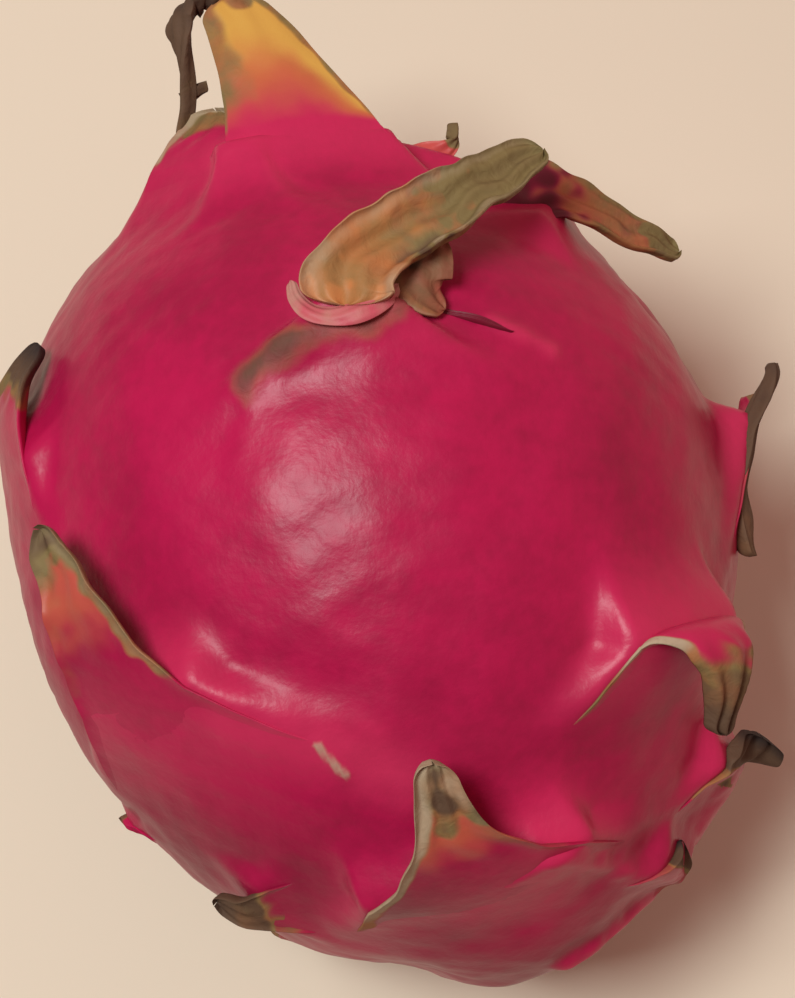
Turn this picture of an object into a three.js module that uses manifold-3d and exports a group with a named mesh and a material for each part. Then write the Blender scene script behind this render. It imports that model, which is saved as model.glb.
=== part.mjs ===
// A whole dragon fruit, lying on its side. Millimetres, +Z up.
//
// The fruit's axis runs along Y, from the stem end at -Y to the flower end, the crown, at +Y. It lies
// on a small flat spot in the plane z = 0. The peel is one solid. The leafy scales that grow out of it,
// the cut stem and the withered flower base are separate solids, each a hair's breadth clear of it.
//
// An angle round the axis is 0 on top of the fruit and grows towards +X.

import * as THREE from "three";
import { mergeVertices } from "three/addons/utils/BufferGeometryUtils.js";
import Module from "manifold-3d";

// ---------------------------------------------------------------- driving dimensions

const RADIUS = 45; // of the peel, at its widest, without the scales
const STEM_END = -54;
const CROWN_END = 54;
const WIDEST = 6; // where along the axis the fruit is widest
const FLAT_SPOT_DEPTH = 1.5; // how far the fruit has settled into its flat spot
const AXIS_HEIGHT = RADIUS - FLAT_SPOT_DEPTH;
const STEM_ROUND = 0.59; // 0.5 would make the stem half an ellipse, and more makes it more pointed
const CROWN_SHAPE = { bend: 2.1, round: 0.62 }; // fuller exponents make the crown blunter

const STEM_DIMPLE = { depth: 2, width: 8, drop: 18 }; // the drop is below the axis
const CROWN_DIMPLE = { depth: 5, width: 9, drop: 2 };
const SEAM = 0.5; // share of its fused length at which a scale parts from the flesh
const JOINT_GAP = 0.35; // between the peel and what grows on it

const PEEL_ROUND = 68; // faces round the peel
const PEEL_ALONG = 38; // faces from the stem end to the crown
const SCALE_ROUND = 16; // faces round a scale's section
const SCALE_ALONG = 9; // faces from a scale's root to its tip
const ROOT = 0.3; // share of its fused length at which a scale's solid begins, inside the flesh
const LEAF = 0.9; // thickness of a scale at its tip

const LEAN = { from: 5, stem: 7, crown: -5 }; // how far each end grew to one side, beyond this

const CENTRE = new THREE.Vector3(0, 0, AXIS_HEIGHT);
const AXIS = new THREE.Vector3(0, 1, 0);

// Each scale is a shingle: it rises out of the peel over its fused length, then runs free.
//   along, around  where its root lies: mm along the axis, degrees round it
//   heading        degrees that it points away from the crown, towards a growing angle
//   widths         half its width at the root, at the neck where it comes free, and at the tip
//   fused, free    lengths of the two stretches
//   rise           how far its neck stands out of the peel
//   thick          its thickness at the neck
//   curl, sweep    degrees that the free stretch bends outwards, and sideways
//   twist          degrees that the free stretch turns about its own length
//   fillet         how far the peel's own flesh runs up against it
//   taper          how its free stretch narrows: 1 is straight, less is fuller, more is hollowed
//   seam           where it parts from the flesh, as a share of its fused length, if not at SEAM
const SCALES = {
  crown_horn: {
    along: 36, around: 3.5, heading: 0, widths: [16, 9.3, 4.6], fused: 9, free: 21,
    rise: 4.5, thick: 6, curl: 4, sweep: -12, twist: 0, fillet: 5.5, taper: 1.1,
  },
  crown_left_scale: {
    along: 36, around: -26, heading: 12, widths: [14, 7.4, 2.8], fused: 10, free: 9,
    rise: 3.2, thick: 3, curl: -14, sweep: 10, twist: 0, fillet: 4.5, taper: 0.8,
  },
  crown_back_scale: {
    along: 38, around: 27, heading: 34, widths: [8, 4.6, 1.2], fused: 6, free: 7,
    rise: 2.4, thick: 2.6, curl: -10, sweep: -10, twist: 0, fillet: 4.5, taper: 1.2,
  },
  crown_right_scale: {
    along: 37, around: 38, heading: 114, widths: [10, 6.4, 2.2], fused: 9, free: 17,
    rise: 2.8, thick: 3.2, curl: -12, sweep: 40, twist: 25, fillet: 4.5, taper: 1.3,
  },
  crown_low_right_scale: {
    along: 30, around: 112, heading: 6, widths: [12, 8, 1.6], fused: 9, free: 14,
    rise: 3, thick: 3.2, curl: -30, sweep: 8, twist: 0, fillet: 4.5, taper: 1,
  },
  crown_under_scale: {
    along: 31, around: 160, heading: 4, widths: [12, 8, 1.5], fused: 9, free: 13,
    rise: 3, thick: 3, curl: -30, sweep: 8, twist: 0, fillet: 4.5, taper: 1,
  },
  crown_low_left_scale: {
    along: 31, around: -154, heading: -4, widths: [12, 8, 1.5], fused: 9, free: 14,
    rise: 3, thick: 3, curl: -26, sweep: -10, twist: 0, fillet: 4.5, taper: 1,
  },
  crown_far_left_scale: {
    along: 29, around: -118, heading: -4, widths: [12, 8, 1.7], fused: 9, free: 14,
    rise: 3, thick: 3.2, curl: -24, sweep: -6, twist: 0, fillet: 4.5, taper: 1,
  },
  top_strap_scale: {
    along: 11, around: -3, heading: 30, widths: [14, 7.4, 3.6], fused: 11, free: 28,
    rise: 4.2, thick: 3.6, curl: -46, sweep: 42, twist: -18, fillet: 4.5, taper: 0.8,
  },
  right_ear_scale: {
    along: -17, around: 90, heading: -6, widths: [18, 8.5, 2], fused: 28, free: 6,
    rise: 4.8, thick: 3, curl: -20, sweep: 0, twist: 0, fillet: 5, taper: 1, seam: 0.95,
  },
  left_rim_scale: {
    along: 6, around: -77, heading: 32, widths: [16, 9.5, 1.6], fused: 14, free: 14,
    rise: 2.8, thick: 3, curl: -42, sweep: 0, twist: 0, fillet: 4.5, taper: 1,
  },
  under_right_scale: {
    along: 6, around: 146, heading: 0, widths: [15, 10, 1.4], fused: 13, free: 12,
    rise: 2.6, thick: 2.6, curl: -36, sweep: 6, twist: 0, fillet: 4.5, taper: 1,
  },
  under_left_scale: {
    along: 4, around: -142, heading: -6, widths: [15, 10, 1.4], fused: 13, free: 12,
    rise: 2.6, thick: 2.6, curl: -36, sweep: -6, twist: 0, fillet: 4.5, taper: 1,
  },
  left_shoulder_scale: {
    along: -33, around: -43, heading: 2, widths: [25, 8.5, 1.8], fused: 18, free: 21,
    rise: 3.8, thick: 3.2, curl: -40, sweep: -32, twist: 0, fillet: 4.5, taper: 1.1,
  },
  right_shoulder_scale: {
    along: -32, around: 50.5, heading: -12, widths: [26, 10, 3], fused: 15, free: 13,
    rise: 4.4, thick: 2.6, curl: 150, sweep: 0, twist: 0, fillet: 5.5, taper: 1.6,
  },
  far_right_scale: {
    along: -30, around: 134, heading: 4, widths: [17, 10, 1.5], fused: 13, free: 12,
    rise: 3, thick: 2.8, curl: -34, sweep: 0, twist: 0, fillet: 4.5, taper: 1,
  },
  far_left_scale: {
    along: -32.5, around: -86, heading: 0, widths: [7, 3.2, 1.5], fused: 6, free: 4,
    rise: 2, thick: 2.6, curl: 10, sweep: 0, twist: 0, fillet: 3, taper: 1,
  },
  low_left_scale: {
    along: -26, around: -128, heading: 0, widths: [17, 10, 1.5], fused: 14, free: 11,
    rise: 3, thick: 2.8, curl: -38, sweep: 8, twist: 0, fillet: 4.5, taper: 1,
  },
  stem_top_scale: {
    along: -49, around: 12, heading: -26, widths: [21, 11.5, 2.2], fused: 12, free: 19,
    rise: 3.2, thick: 2.8, curl: -36, sweep: 24, twist: 0, fillet: 4.5, taper: 1.7,
  },
  stem_left_scale: {
    along: -43, around: -46, heading: -56, widths: [7, 4, 2], fused: 6.5, free: 7,
    rise: 2.2, thick: 2.2, curl: -30, sweep: 0, twist: 0, fillet: 4.5, taper: 1,
  },
  stem_right_scale: {
    along: -39, around: 88, heading: -16, widths: [13, 7, 2.6], fused: 11, free: 9,
    rise: 3, thick: 2.6, curl: 6, sweep: 0, twist: -30, fillet: 4.5, taper: 0.9,
  },
  stem_small_scale: {
    along: -47, around: 74, heading: 6, widths: [9, 5, 1.4], fused: 8, free: 5,
    rise: 2.2, thick: 2.2, curl: -36, sweep: 0, twist: 0, fillet: 4.5, taper: 1,
  },
  stem_under_right_scale: {
    along: -47, around: 143, heading: 0, widths: [12, 7, 1.3], fused: 10, free: 9,
    rise: 2.2, thick: 2.4, curl: -26, sweep: 0, twist: 0, fillet: 4.5, taper: 1,
  },
  stem_under_left_scale: {
    along: -48, around: -136, heading: 0, widths: [13, 7.5, 1.3], fused: 10, free: 10,
    rise: 2.2, thick: 2.4, curl: -28, sweep: 0, twist: 0, fillet: 4.5, taper: 1,
  },
};

// The horn's dried tip hooks back down towards the peel. The points are the middle of that strand,
// measured from the horn's tip: to its side, forward and outward.
const HOOK = {
  path: [[1, -4, -1.8], [-4, 1.2, -1.5], [-8, 1.6, -2.5], [-11, -2, -4], [-12, -7.5, -6], [-13.5, -11, -8]],
  thick: [3.2, 1.2],
  flat: 0.7,
};

const STEM = { along: -47.5, radius: 4.2, foot: 5.5, sunk: 4, length: 7.5, sides: 14 };
const FLOWER_BASE = { rim: 6.5, bore: 3.6, floor: 2.2, height: 6 };

const wasm = await Module();
wasm.setup();

// ---------------------------------------------------------------- the bare peel

// Radius of the smooth peel at a place along the axis: nearly half an ellipse towards the stem end,
// and a blunter superellipse towards the crown.
function peelRadius(y) {
  if (y <= STEM_END || y >= CROWN_END) return 0;
  if (y < WIDEST) return RADIUS * (1 - ((WIDEST - y) / (WIDEST - STEM_END)) ** 2) ** STEM_ROUND;
  const share = (y - WIDEST) / (CROWN_END - WIDEST);
  return RADIUS * (1 - share ** CROWN_SHAPE.bend) ** CROWN_SHAPE.round;
}

function peelPoint(y, angle) {
  const r = peelRadius(y);
  return new THREE.Vector3(r * Math.sin(angle), y, AXIS_HEIGHT + r * Math.cos(angle));
}

function peelNormal(point) {
  const step = 0.02;
  const slope = (peelRadius(point.y + step) - peelRadius(point.y - step)) / (2 * step);
  const out = new THREE.Vector3(point.x, 0, point.z - AXIS_HEIGHT);
  if (out.length() < 1e-3) return new THREE.Vector3(0, Math.sign(point.y), 0);
  return out.normalize().setY(-slope).normalize();
}

// The point of the smooth peel on the line from the fruit's centre through any other point.
function ontoPeel(point) {
  const ray = point.clone().sub(CENTRE);
  let inside = 0;
  let outside = 4;
  for (let i = 0; i < 36; i++) {
    const k = (inside + outside) / 2;
    const isOutside = k * Math.hypot(ray.x, ray.z) > peelRadius(k * ray.y);
    if (isOutside) outside = k;
    else inside = k;
  }
  return ray.multiplyScalar(inside).add(CENTRE);
}

// ---------------------------------------------------------------- the shape of a scale

// A scale's root on the smooth peel, and its own directions there: forward, side and outward.
function rootFrame(scale) {
  const turn = THREE.MathUtils.degToRad(scale.heading);
  const root = peelPoint(scale.along, THREE.MathUtils.degToRad(scale.around));
  const out = peelNormal(root);
  const ahead = AXIS.clone().addScaledVector(out, -AXIS.dot(out)).normalize();
  const side = ahead.clone().cross(out);
  const forward = ahead.clone().multiplyScalar(Math.cos(turn)).addScaledVector(side, Math.sin(turn));
  return { root, out, forward, side: forward.clone().cross(out) };
}

// Half the scale's width at a distance s from its root. The last tenth rounds off the tip.
function halfWidth(scale, s) {
  const [root, neck, tip] = scale.widths;
  if (s < scale.fused) return THREE.MathUtils.lerp(root, neck, (s / scale.fused) ** 0.8);
  const share = Math.min(1, (s - scale.fused) / scale.free);
  const width = tip + (neck - tip) * (1 - share) ** scale.taper;
  const end = Math.max(0, (share - 0.9) / 0.1);
  return width * Math.sqrt(1 - 0.8 * end * end);
}

// How far the fused stretch has risen out of the peel.
function riseAt(scale, s) {
  const share = THREE.MathUtils.clamp(s / scale.fused, 0, 1);
  return scale.rise * share ** 1.7;
}

// The scale thins from its neck towards its tip, down to the thickness of a leaf.
function thicknessAt(scale, s) {
  const share = THREE.MathUtils.clamp((s - scale.fused) / scale.free, 0, 1);
  return LEAF + (scale.thick - LEAF) * (1 - share) ** 0.8;
}

// A point of the fused stretch: on the peel, s ahead of the root and w to its side, and lifted.
function fusedPoint(scale, frame, s, w, lift) {
  const flat = frame.root.clone().addScaledVector(frame.forward, s).addScaledVector(frame.side, w);
  const onPeel = ontoPeel(flat);
  return onPeel.clone().addScaledVector(peelNormal(onPeel), lift + lumpAt(onPeel));
}

// The scale's centreline as a row of stations, each with its place and its own directions. It
// follows the peel to the neck, and from there it bends by its curl, sweep and twist.
function centreline(scale, start, steps) {
  const frame = rootFrame(scale);
  const step = (scale.fused + scale.free - start) / steps;
  const on = (s) => fusedPoint(scale, frame, s, 0, riseAt(scale, s));
  const stations = [];
  let forward, out, place;
  for (let i = 0; i <= steps; i++) {
    const s = start + i * step;
    const before = Math.min(s, scale.fused);
    const free = s - scale.fused;
    if (free <= 0 || !place) {
      place = on(before);
      forward = place.clone().sub(on(before - 0.4)).normalize();
      out = peelNormal(ontoPeel(place));
      out.addScaledVector(forward, -out.dot(forward)).normalize();
    }
    if (free > 0) {
      const run = Math.min(step, free);
      const bend = THREE.MathUtils.degToRad(run / scale.free);
      const side = forward.clone().cross(out);
      forward.applyAxisAngle(side, bend * scale.curl);
      out.applyAxisAngle(side, bend * scale.curl);
      forward.applyAxisAngle(out, -bend * scale.sweep);
      out.applyAxisAngle(forward, bend * scale.twist);
      place = (free <= step ? on(scale.fused) : place.clone()).addScaledVector(forward, run);
    }
    const side = forward.clone().cross(out);
    stations.push({ s, place: place.clone(), forward: forward.clone(), out: out.clone(), side });
  }
  return stations;
}

// The solid of one scale, grown outwards all over by a margin: a closed cylinder whose round section
// is pressed into a thin blade, curved like the peel, and carried along the centreline. Before the
// neck it lies on the peel.
function scaleGeometry(scale, margin) {
  const frame = rootFrame(scale);
  const stations = centreline(scale, scale.fused * ROOT, SCALE_ALONG);
  const geometry = new THREE.CylinderGeometry(1, 1, 1, SCALE_ROUND, SCALE_ALONG);
  const position = geometry.attributes.position;
  for (let i = 0; i < position.count; i++) {
    const station = stations[Math.round((position.getY(i) + 0.5) * SCALE_ALONG)];
    const share = (Math.asin(THREE.MathUtils.clamp(position.getX(i), -1, 1)) * 2) / Math.PI;
    const across = share * (halfWidth(scale, station.s) + margin);
    const face = Math.sign(position.getZ(i)) * (1 - Math.abs(share) ** 3) ** 0.7;
    const depth = (thicknessAt(scale, station.s) / 2) * (face - 1) + margin * face;
    const free = station.place
      .clone()
      .addScaledVector(station.side, across)
      .addScaledVector(station.out, depth - across ** 2 / (2 * RADIUS));
    const fused = fusedPoint(scale, frame, station.s, across, riseAt(scale, station.s) + depth);
    const blend = THREE.MathUtils.smoothstep(station.s, scale.fused * 0.6, scale.fused);
    position.setXYZ(i, ...fused.lerp(free, blend).toArray());
  }
  return geometry;
}

// The dried hook at the end of the horn: a flattened rope that follows its path and narrows.
function hookGeometry() {
  const horn = SCALES.crown_horn;
  const tip = centreline(horn, horn.fused * ROOT, SCALE_ALONG).pop();
  const points = HOOK.path.map(([side, forward, out]) =>
    tip.place
      .clone()
      .addScaledVector(tip.side, side)
      .addScaledVector(tip.forward, forward)
      .addScaledVector(tip.out, out),
  );
  const curve = new THREE.CatmullRomCurve3(points);
  const steps = 12;
  const geometry = new THREE.CylinderGeometry(1, 1, 1, 8, steps);
  const position = geometry.attributes.position;
  for (let i = 0; i < position.count; i++) {
    const share = position.getY(i) + 0.5;
    const along = curve.getTangentAt(share);
    const across = along.clone().cross(tip.out).normalize();
    const out = across.clone().cross(along);
    const thick = THREE.MathUtils.lerp(...HOOK.thick, share);
    const point = curve
      .getPointAt(share)
      .addScaledVector(across, position.getX(i) * thick)
      .addScaledVector(out, position.getZ(i) * thick * HOOK.flat);
    position.setXYZ(i, ...point.toArray());
  }
  return geometry;
}

// ---------------------------------------------------------------- the finished peel

// How far the flesh of all the scales lifts the peel above a point of the smooth peel. Under a scale
// it climbs to the height at which the scale parts from it, and round the scale's outline it falls
// away over the fillet. Where scales meet, the cube root of the summed cubes keeps the higher one.
function fleshAt(point) {
  let sum = 0;
  for (const { scale, frame } of PLACED) {
    const ray = point.clone().sub(CENTRE);
    const facing = ray.dot(frame.out);
    if (facing < 5) continue;
    const reach = frame.root.clone().sub(CENTRE).dot(frame.out) / facing;
    const flat = ray.multiplyScalar(reach).add(CENTRE).sub(frame.root);
    const s = flat.dot(frame.forward);
    const w = Math.abs(flat.dot(frame.side));
    const inner = THREE.MathUtils.clamp(s, 0, scale.fused);
    const beside = 0.75 * Math.max(0, w - halfWidth(scale, inner));
    const distance = Math.hypot(beside, Math.max(0, s - scale.fused)) / scale.fillet;
    const seam = (scale.seam ?? SEAM) * scale.fused;
    const height = riseAt(scale, seam) * THREE.MathUtils.smoothstep(inner, 0, 1.3 * seam);
    sum += (height * Math.exp(-(distance ** 2))) ** 3;
  }
  return Math.cbrt(sum);
}

// Slow waves that keep the peel from being a perfect solid of revolution.
function lumpAt(point) {
  const angle = Math.atan2(point.x, point.z - AXIS_HEIGHT);
  const reach = Math.sin((Math.PI * (point.y - STEM_END)) / (CROWN_END - STEM_END));
  return reach * (0.3 * Math.cos(2 * angle + 0.7) + 0.4 * Math.cos(3 * angle - 1 + point.y / 30));
}

// The dimples that the stem and the flower sit in, as a depth along the axis.
function dimpleAt(point) {
  const dimple = point.y < 0 ? STEM_DIMPLE : CROWN_DIMPLE;
  const r = Math.hypot(point.x, point.z - AXIS_HEIGHT + dimple.drop);
  if (Math.abs(point.y) < CROWN_END / 2) return 0;
  return -Math.sign(point.y) * dimple.depth * Math.exp(-((r / dimple.width) ** 2));
}

// The peel as a closed mesh, grown outwards all over by a margin.
function peelGeometry(margin) {
  const geometry = new THREE.SphereGeometry(1, PEEL_ROUND, PEEL_ALONG);
  const position = geometry.attributes.position;
  for (let i = 0; i < position.count; i++) {
    const unit = new THREE.Vector3().fromBufferAttribute(position, i);
    const reach = unit.y < 0 ? WIDEST - STEM_END : CROWN_END - WIDEST;
    const smooth = peelPoint(WIDEST + unit.y * reach, Math.atan2(unit.x, unit.z));
    const lift = fleshAt(smooth) + lumpAt(smooth) + margin;
    const point = smooth.clone().addScaledVector(peelNormal(smooth), lift);
    point.y += dimpleAt(smooth);
    position.setXYZ(i, ...point.toArray());
  }
  return geometry;
}

const PLACED = Object.values(SCALES).map((scale) => ({ scale, frame: rootFrame(scale) }));

// ---------------------------------------------------------------- stem and flower base

// The cut stem: a short woody peg that stands square on the peel, below the fruit's end. It widens
// where it enters its dimple.
function stemGeometry() {
  const seat = peelPoint(STEM.along, Math.PI);
  const out = peelNormal(seat);
  const profile = [
    [0, 0], [STEM.foot, 0], [STEM.foot, 2], [STEM.radius, 4],
    [STEM.radius, STEM.length - 0.8], [STEM.radius - 0.8, STEM.length], [0, STEM.length],
  ].map(([r, h]) => new THREE.Vector2(r, h));
  const geometry = new THREE.LatheGeometry(profile, STEM.sides);
  geometry.applyQuaternion(new THREE.Quaternion().setFromUnitVectors(AXIS, out));
  return geometry.translate(...seat.addScaledVector(out, -STEM.sunk).toArray());
}

// The withered flower base: a shrunken cup with a thick wall.
function flowerBaseGeometry() {
  const { rim, bore, floor, height } = FLOWER_BASE;
  const profile = [
    [0, 0], [rim - 1.4, 0], [rim, 3], [rim - 0.4, height - 0.6], [rim - 1.2, height],
    [bore + 0.6, height - 0.4], [bore, floor + 0.8], [bore - 1, floor], [0, floor],
  ].map(([r, h]) => new THREE.Vector2(r, h));
  const geometry = new THREE.LatheGeometry(profile, STEM.sides);
  return geometry.translate(0, CROWN_END - CROWN_DIMPLE.depth - 2, AXIS_HEIGHT - CROWN_DIMPLE.drop);
}

// ---------------------------------------------------------------- joining and cutting

// A three.js geometry as a solid that can be joined and cut.
function solidOf(geometry) {
  geometry.deleteAttribute("normal");
  geometry.deleteAttribute("uv");
  const merged = mergeVertices(geometry, 1e-3);
  return new wasm.Manifold(
    new wasm.Mesh({
      numProp: 3,
      vertProperties: new Float32Array(merged.attributes.position.array),
      triVerts: new Uint32Array(merged.index.array),
    }),
  );
}

// A solid as a three.js geometry. Crumbs that a cut leaves beside the piece itself are dropped, and
// everything towards either end slides sideways with the lean of the fruit.
function geometryOf(solid) {
  const largest = solid.decompose().reduce((a, b) => (a.volume() > b.volume() ? a : b));
  const mesh = largest.getMesh();
  const geometry = new THREE.BufferGeometry();
  const position = new THREE.BufferAttribute(mesh.vertProperties, 3);
  for (let i = 0; i < position.count; i++) {
    const y = position.getY(i);
    const share = Math.max(0, Math.abs(y) - LEAN.from) / (CROWN_END - LEAN.from);
    position.setX(i, position.getX(i) + (y < 0 ? LEAN.stem : LEAN.crown) * share ** 2);
  }
  geometry.setAttribute("position", position);
  geometry.setIndex(new THREE.BufferAttribute(mesh.triVerts, 1));
  return geometry;
}

// The surface that the fruit lies on, as a block that cuts the flat spot.
function floorSolid() {
  const side = 4 * RADIUS;
  return solidOf(new THREE.BoxGeometry(side, side, side).translate(0, 0, -side / 2));
}

// ---------------------------------------------------------------- assembly

const fruit = new THREE.Group();

function addPiece(name, solid, colour, roughness) {
  const material = new THREE.MeshStandardMaterial({ color: colour, roughness, metalness: 0 });
  const mesh = new THREE.Mesh(geometryOf(solid), material);
  mesh.name = name;
  fruit.add(mesh);
}

const CRIMSON = 0xb0284e;
const CORAL = 0xb8504a;
const DRY_BROWN = 0x6a553c;
const STEM_GREEN = 0x7c7a4a;

const keepOut = solidOf(peelGeometry(JOINT_GAP));
addPiece("peel", solidOf(peelGeometry(0)).subtract(floorSolid()), CRIMSON, 0.45);

// Where two scales would meet, the later one is cut back from the earlier one by the joint's gap.
const earlier = [keepOut];
for (const [name, scale] of Object.entries(SCALES)) {
  const blade = solidOf(scaleGeometry(scale, 0));
  const whole = name === "crown_horn" ? blade.add(solidOf(hookGeometry())) : blade;
  const clear = earlier.reduce((solid, other) => solid.subtract(other), whole);
  addPiece(name, clear, CORAL, 0.55);
  earlier.push(solidOf(scaleGeometry(scale, JOINT_GAP)));
}

addPiece("cut_stem", solidOf(stemGeometry()).subtract(keepOut), STEM_GREEN, 0.8);
addPiece("flower_base", solidOf(flowerBaseGeometry()).subtract(keepOut), DRY_BROWN, 0.9);

export default fruit;
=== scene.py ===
"""A whole dragon fruit, lying on its side on a pale table."""

import bpy
import numpy as np
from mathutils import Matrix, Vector


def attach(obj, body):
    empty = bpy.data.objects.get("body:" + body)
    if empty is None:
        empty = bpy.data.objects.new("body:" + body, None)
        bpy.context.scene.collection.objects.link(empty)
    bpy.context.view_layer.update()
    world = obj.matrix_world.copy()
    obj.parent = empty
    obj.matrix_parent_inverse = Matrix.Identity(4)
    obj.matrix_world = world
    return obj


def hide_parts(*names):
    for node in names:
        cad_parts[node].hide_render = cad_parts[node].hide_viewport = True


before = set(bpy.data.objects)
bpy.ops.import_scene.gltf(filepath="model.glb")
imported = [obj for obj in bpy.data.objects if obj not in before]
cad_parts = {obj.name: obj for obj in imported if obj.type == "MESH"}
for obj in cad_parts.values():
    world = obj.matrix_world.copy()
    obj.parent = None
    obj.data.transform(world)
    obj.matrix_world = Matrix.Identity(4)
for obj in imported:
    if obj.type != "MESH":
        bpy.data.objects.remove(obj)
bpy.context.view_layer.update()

# ---------------------------------------------------------------- table, light and camera
# The fruit lies on a plain, pale table. A soft lamp hangs over it to the left, and the pale room,
# which is brighter towards the crown and the right, fills the shadows. The camera looks down
# steeply from the stem end.

MM = 0.001  # every size below is in millimetres
TABLE_SIDE = 3000
TABLE_COLOUR, TABLE_ROUGHNESS = (0.72, 0.60, 0.48), 0.75
BACKDROP_COLOUR = (0.60, 0.52, 0.45)
ROOM_COLOUR = (1.0, 0.62, 0.54)
ROOM_STRENGTH = 0.35
ROOM_BRIGHTER = (0.78, 0.55)  # what the strength gains towards +X and +Y, as a share
LAMP_PLACE, LAMP_SIDE = (-230, 4, 724), 210
LAMP_WATTS, LAMP_COLOUR = 5.02, (0.905, 1.0, 0.967)
CAMERA_AZIMUTH, CAMERA_ELEVATION = np.radians((-9, 76))
CAMERA_AIM = np.array((3.5, 7.1, 45.4))
CAMERA_DISTANCE, CAMERA_LENS, CAMERA_SENSOR = 300, 86.6, 36


def put_in_scene(name, data):
    """A new object that holds a mesh, lamp or camera."""
    obj = bpy.data.objects.new(name, data)
    bpy.context.scene.collection.objects.link(obj)
    return obj


def look_at(obj, place, aim):
    """Puts an object at a place, in metres, with its own -Z towards the aim and its own Y up."""
    obj.location = place
    obj.rotation_euler = (Vector(aim) - Vector(place)).to_track_quat("-Z", "Y").to_euler()


def feed(tree, socket, value):
    """Sets a socket to a value, or links it from another socket."""
    if isinstance(value, bpy.types.NodeSocket):
        tree.links.new(value, socket)
    else:
        socket.default_value = value


def add_node(tree, kind, group=None, **inputs):
    """A shader node, or a group placed in a tree, with its named inputs set or linked."""
    node = tree.nodes.new(kind)
    if group:
        node.node_tree = group
    for label, value in inputs.items():
        feed(tree, node.inputs[label.replace("_", " ")], value)
    return node


def maths(tree, operation, *values):
    """The result of a maths node on values or sockets, as a socket."""
    node = tree.nodes.new("ShaderNodeMath")
    node.operation = operation
    for socket, value in zip(node.inputs, values):
        feed(tree, socket, value)
    return node.outputs[0]


def new_material(name, **constants):
    """A material whose Principled shader has constant inputs set, its node tree, and that shader."""
    material = bpy.data.materials.new(name)
    material.use_nodes = True
    shader = material.node_tree.nodes["Principled BSDF"]
    for label, value in constants.items():
        shader.inputs[label.replace("_", " ")].default_value = value
    return material, material.node_tree, shader


table_mesh = bpy.data.meshes.new("table")
half = TABLE_SIDE / 2 * MM
table_corners = [(-half, -half, 0), (half, -half, 0), (half, half, 0), (-half, half, 0)]
table_mesh.from_pydata(table_corners, [], [(0, 1, 2, 3)])
table = put_in_scene("table", table_mesh)
table_look = dict(Base_Color=(*TABLE_COLOUR, 1), Roughness=TABLE_ROUGHNESS)
table_mesh.materials.append(new_material("pale_table", **table_look)[0])

room = bpy.data.worlds.new("room")
room.use_nodes = True
room_tree = room.node_tree
room_light = room_tree.nodes["Background"]
direction = room_tree.nodes.new("ShaderNodeTexCoord").outputs["Generated"]
towards = room_tree.nodes.new("ShaderNodeVectorMath")
towards.operation = "DOT_PRODUCT"
feed(room_tree, towards.inputs[0], direction)
feed(room_tree, towards.inputs[1], (*ROOM_BRIGHTER, 0))
strength = maths(room_tree, "MULTIPLY_ADD", towards.outputs["Value"], ROOM_STRENGTH, ROOM_STRENGTH)
feed(room_tree, room_light.inputs["Color"], (*ROOM_COLOUR, 1))
feed(room_tree, room_light.inputs["Strength"], strength)
backdrop = add_node(room_tree, "ShaderNodeBackground", Color=(*BACKDROP_COLOUR, 1))
in_view = room_tree.nodes.new("ShaderNodeLightPath").outputs["Is Camera Ray"]
either = room_tree.nodes.new("ShaderNodeMixShader")
for socket, value in zip(either.inputs, (in_view, room_light.outputs[0], backdrop.outputs[0])):
    feed(room_tree, socket, value)
feed(room_tree, room_tree.nodes["World Output"].inputs["Surface"], either.outputs[0])
bpy.context.scene.world = room

lamp_data = bpy.data.lights.new("lamp", "AREA")
lamp_data.size = LAMP_SIDE * MM
lamp_data.energy = LAMP_WATTS
lamp_data.color = LAMP_COLOUR
look_at(put_in_scene("lamp", lamp_data), np.array(LAMP_PLACE) * MM, CAMERA_AIM * MM)

camera_data = bpy.data.cameras.new("camera")
camera_data.lens = CAMERA_LENS
camera_data.sensor_width = CAMERA_SENSOR
camera = put_in_scene("camera", camera_data)
level = np.cos(CAMERA_ELEVATION) * np.array((np.sin(CAMERA_AZIMUTH), -np.cos(CAMERA_AZIMUTH)))
camera_back = np.array((*level, np.sin(CAMERA_ELEVATION)))
look_at(camera, (CAMERA_AIM + CAMERA_DISTANCE * camera_back) * MM, CAMERA_AIM * MM)
bpy.context.scene.camera = camera
bpy.context.scene.view_settings.view_transform = "Standard"

# ---------------------------------------------------------------- peel
# The peel is one grown skin over the flesh: waxy, crimson and slowly mottled. It swells into a
# shingle under each leafy scale, with a sharp step beyond the scale's margins.

RADIUS = 45.0
STEM_END, CROWN_END, WIDEST = -54.0, 54.0, 6.0
AXIS_HEIGHT = 43.5
STEM_ROUND = 0.59
CROWN_BEND, CROWN_ROUND = 2.1, 0.62
STEM_DIMPLE = dict(depth=2, width=8, drop=18)
CROWN_DIMPLE = dict(depth=5, width=9, drop=2)
DIMPLES_FROM = 27  # distance along the axis beyond which they count
RIPPLES = ((0.13, 11), (0.05, 4))  # height and wavelength of each kind
LEAN_FROM, STEM_LEAN, CROWN_LEAN = 5, 7, -5
EDGE, EDGE_LOSES = 5.0, 3.2  # width of a shingle's soft edge at the root, and its loss to the neck
PINK_BESIDE, PINK_AHEAD = 4, 7  # how far the pinker skin reaches past a scale
FLARE, RISE = 0.8, 1.7  # powers of the share of the fused length, for the width and the rise
STRAY, STRAY_WAVE = 0.3, 3.5  # how far a fold's edge strays
PEEL_ROWS, PEEL_COLUMNS = 250, 380
CENTRE = np.array((0, 0, AXIS_HEIGHT))
AHEAD = np.array((0.0, 1.0, 0.0))

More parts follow.
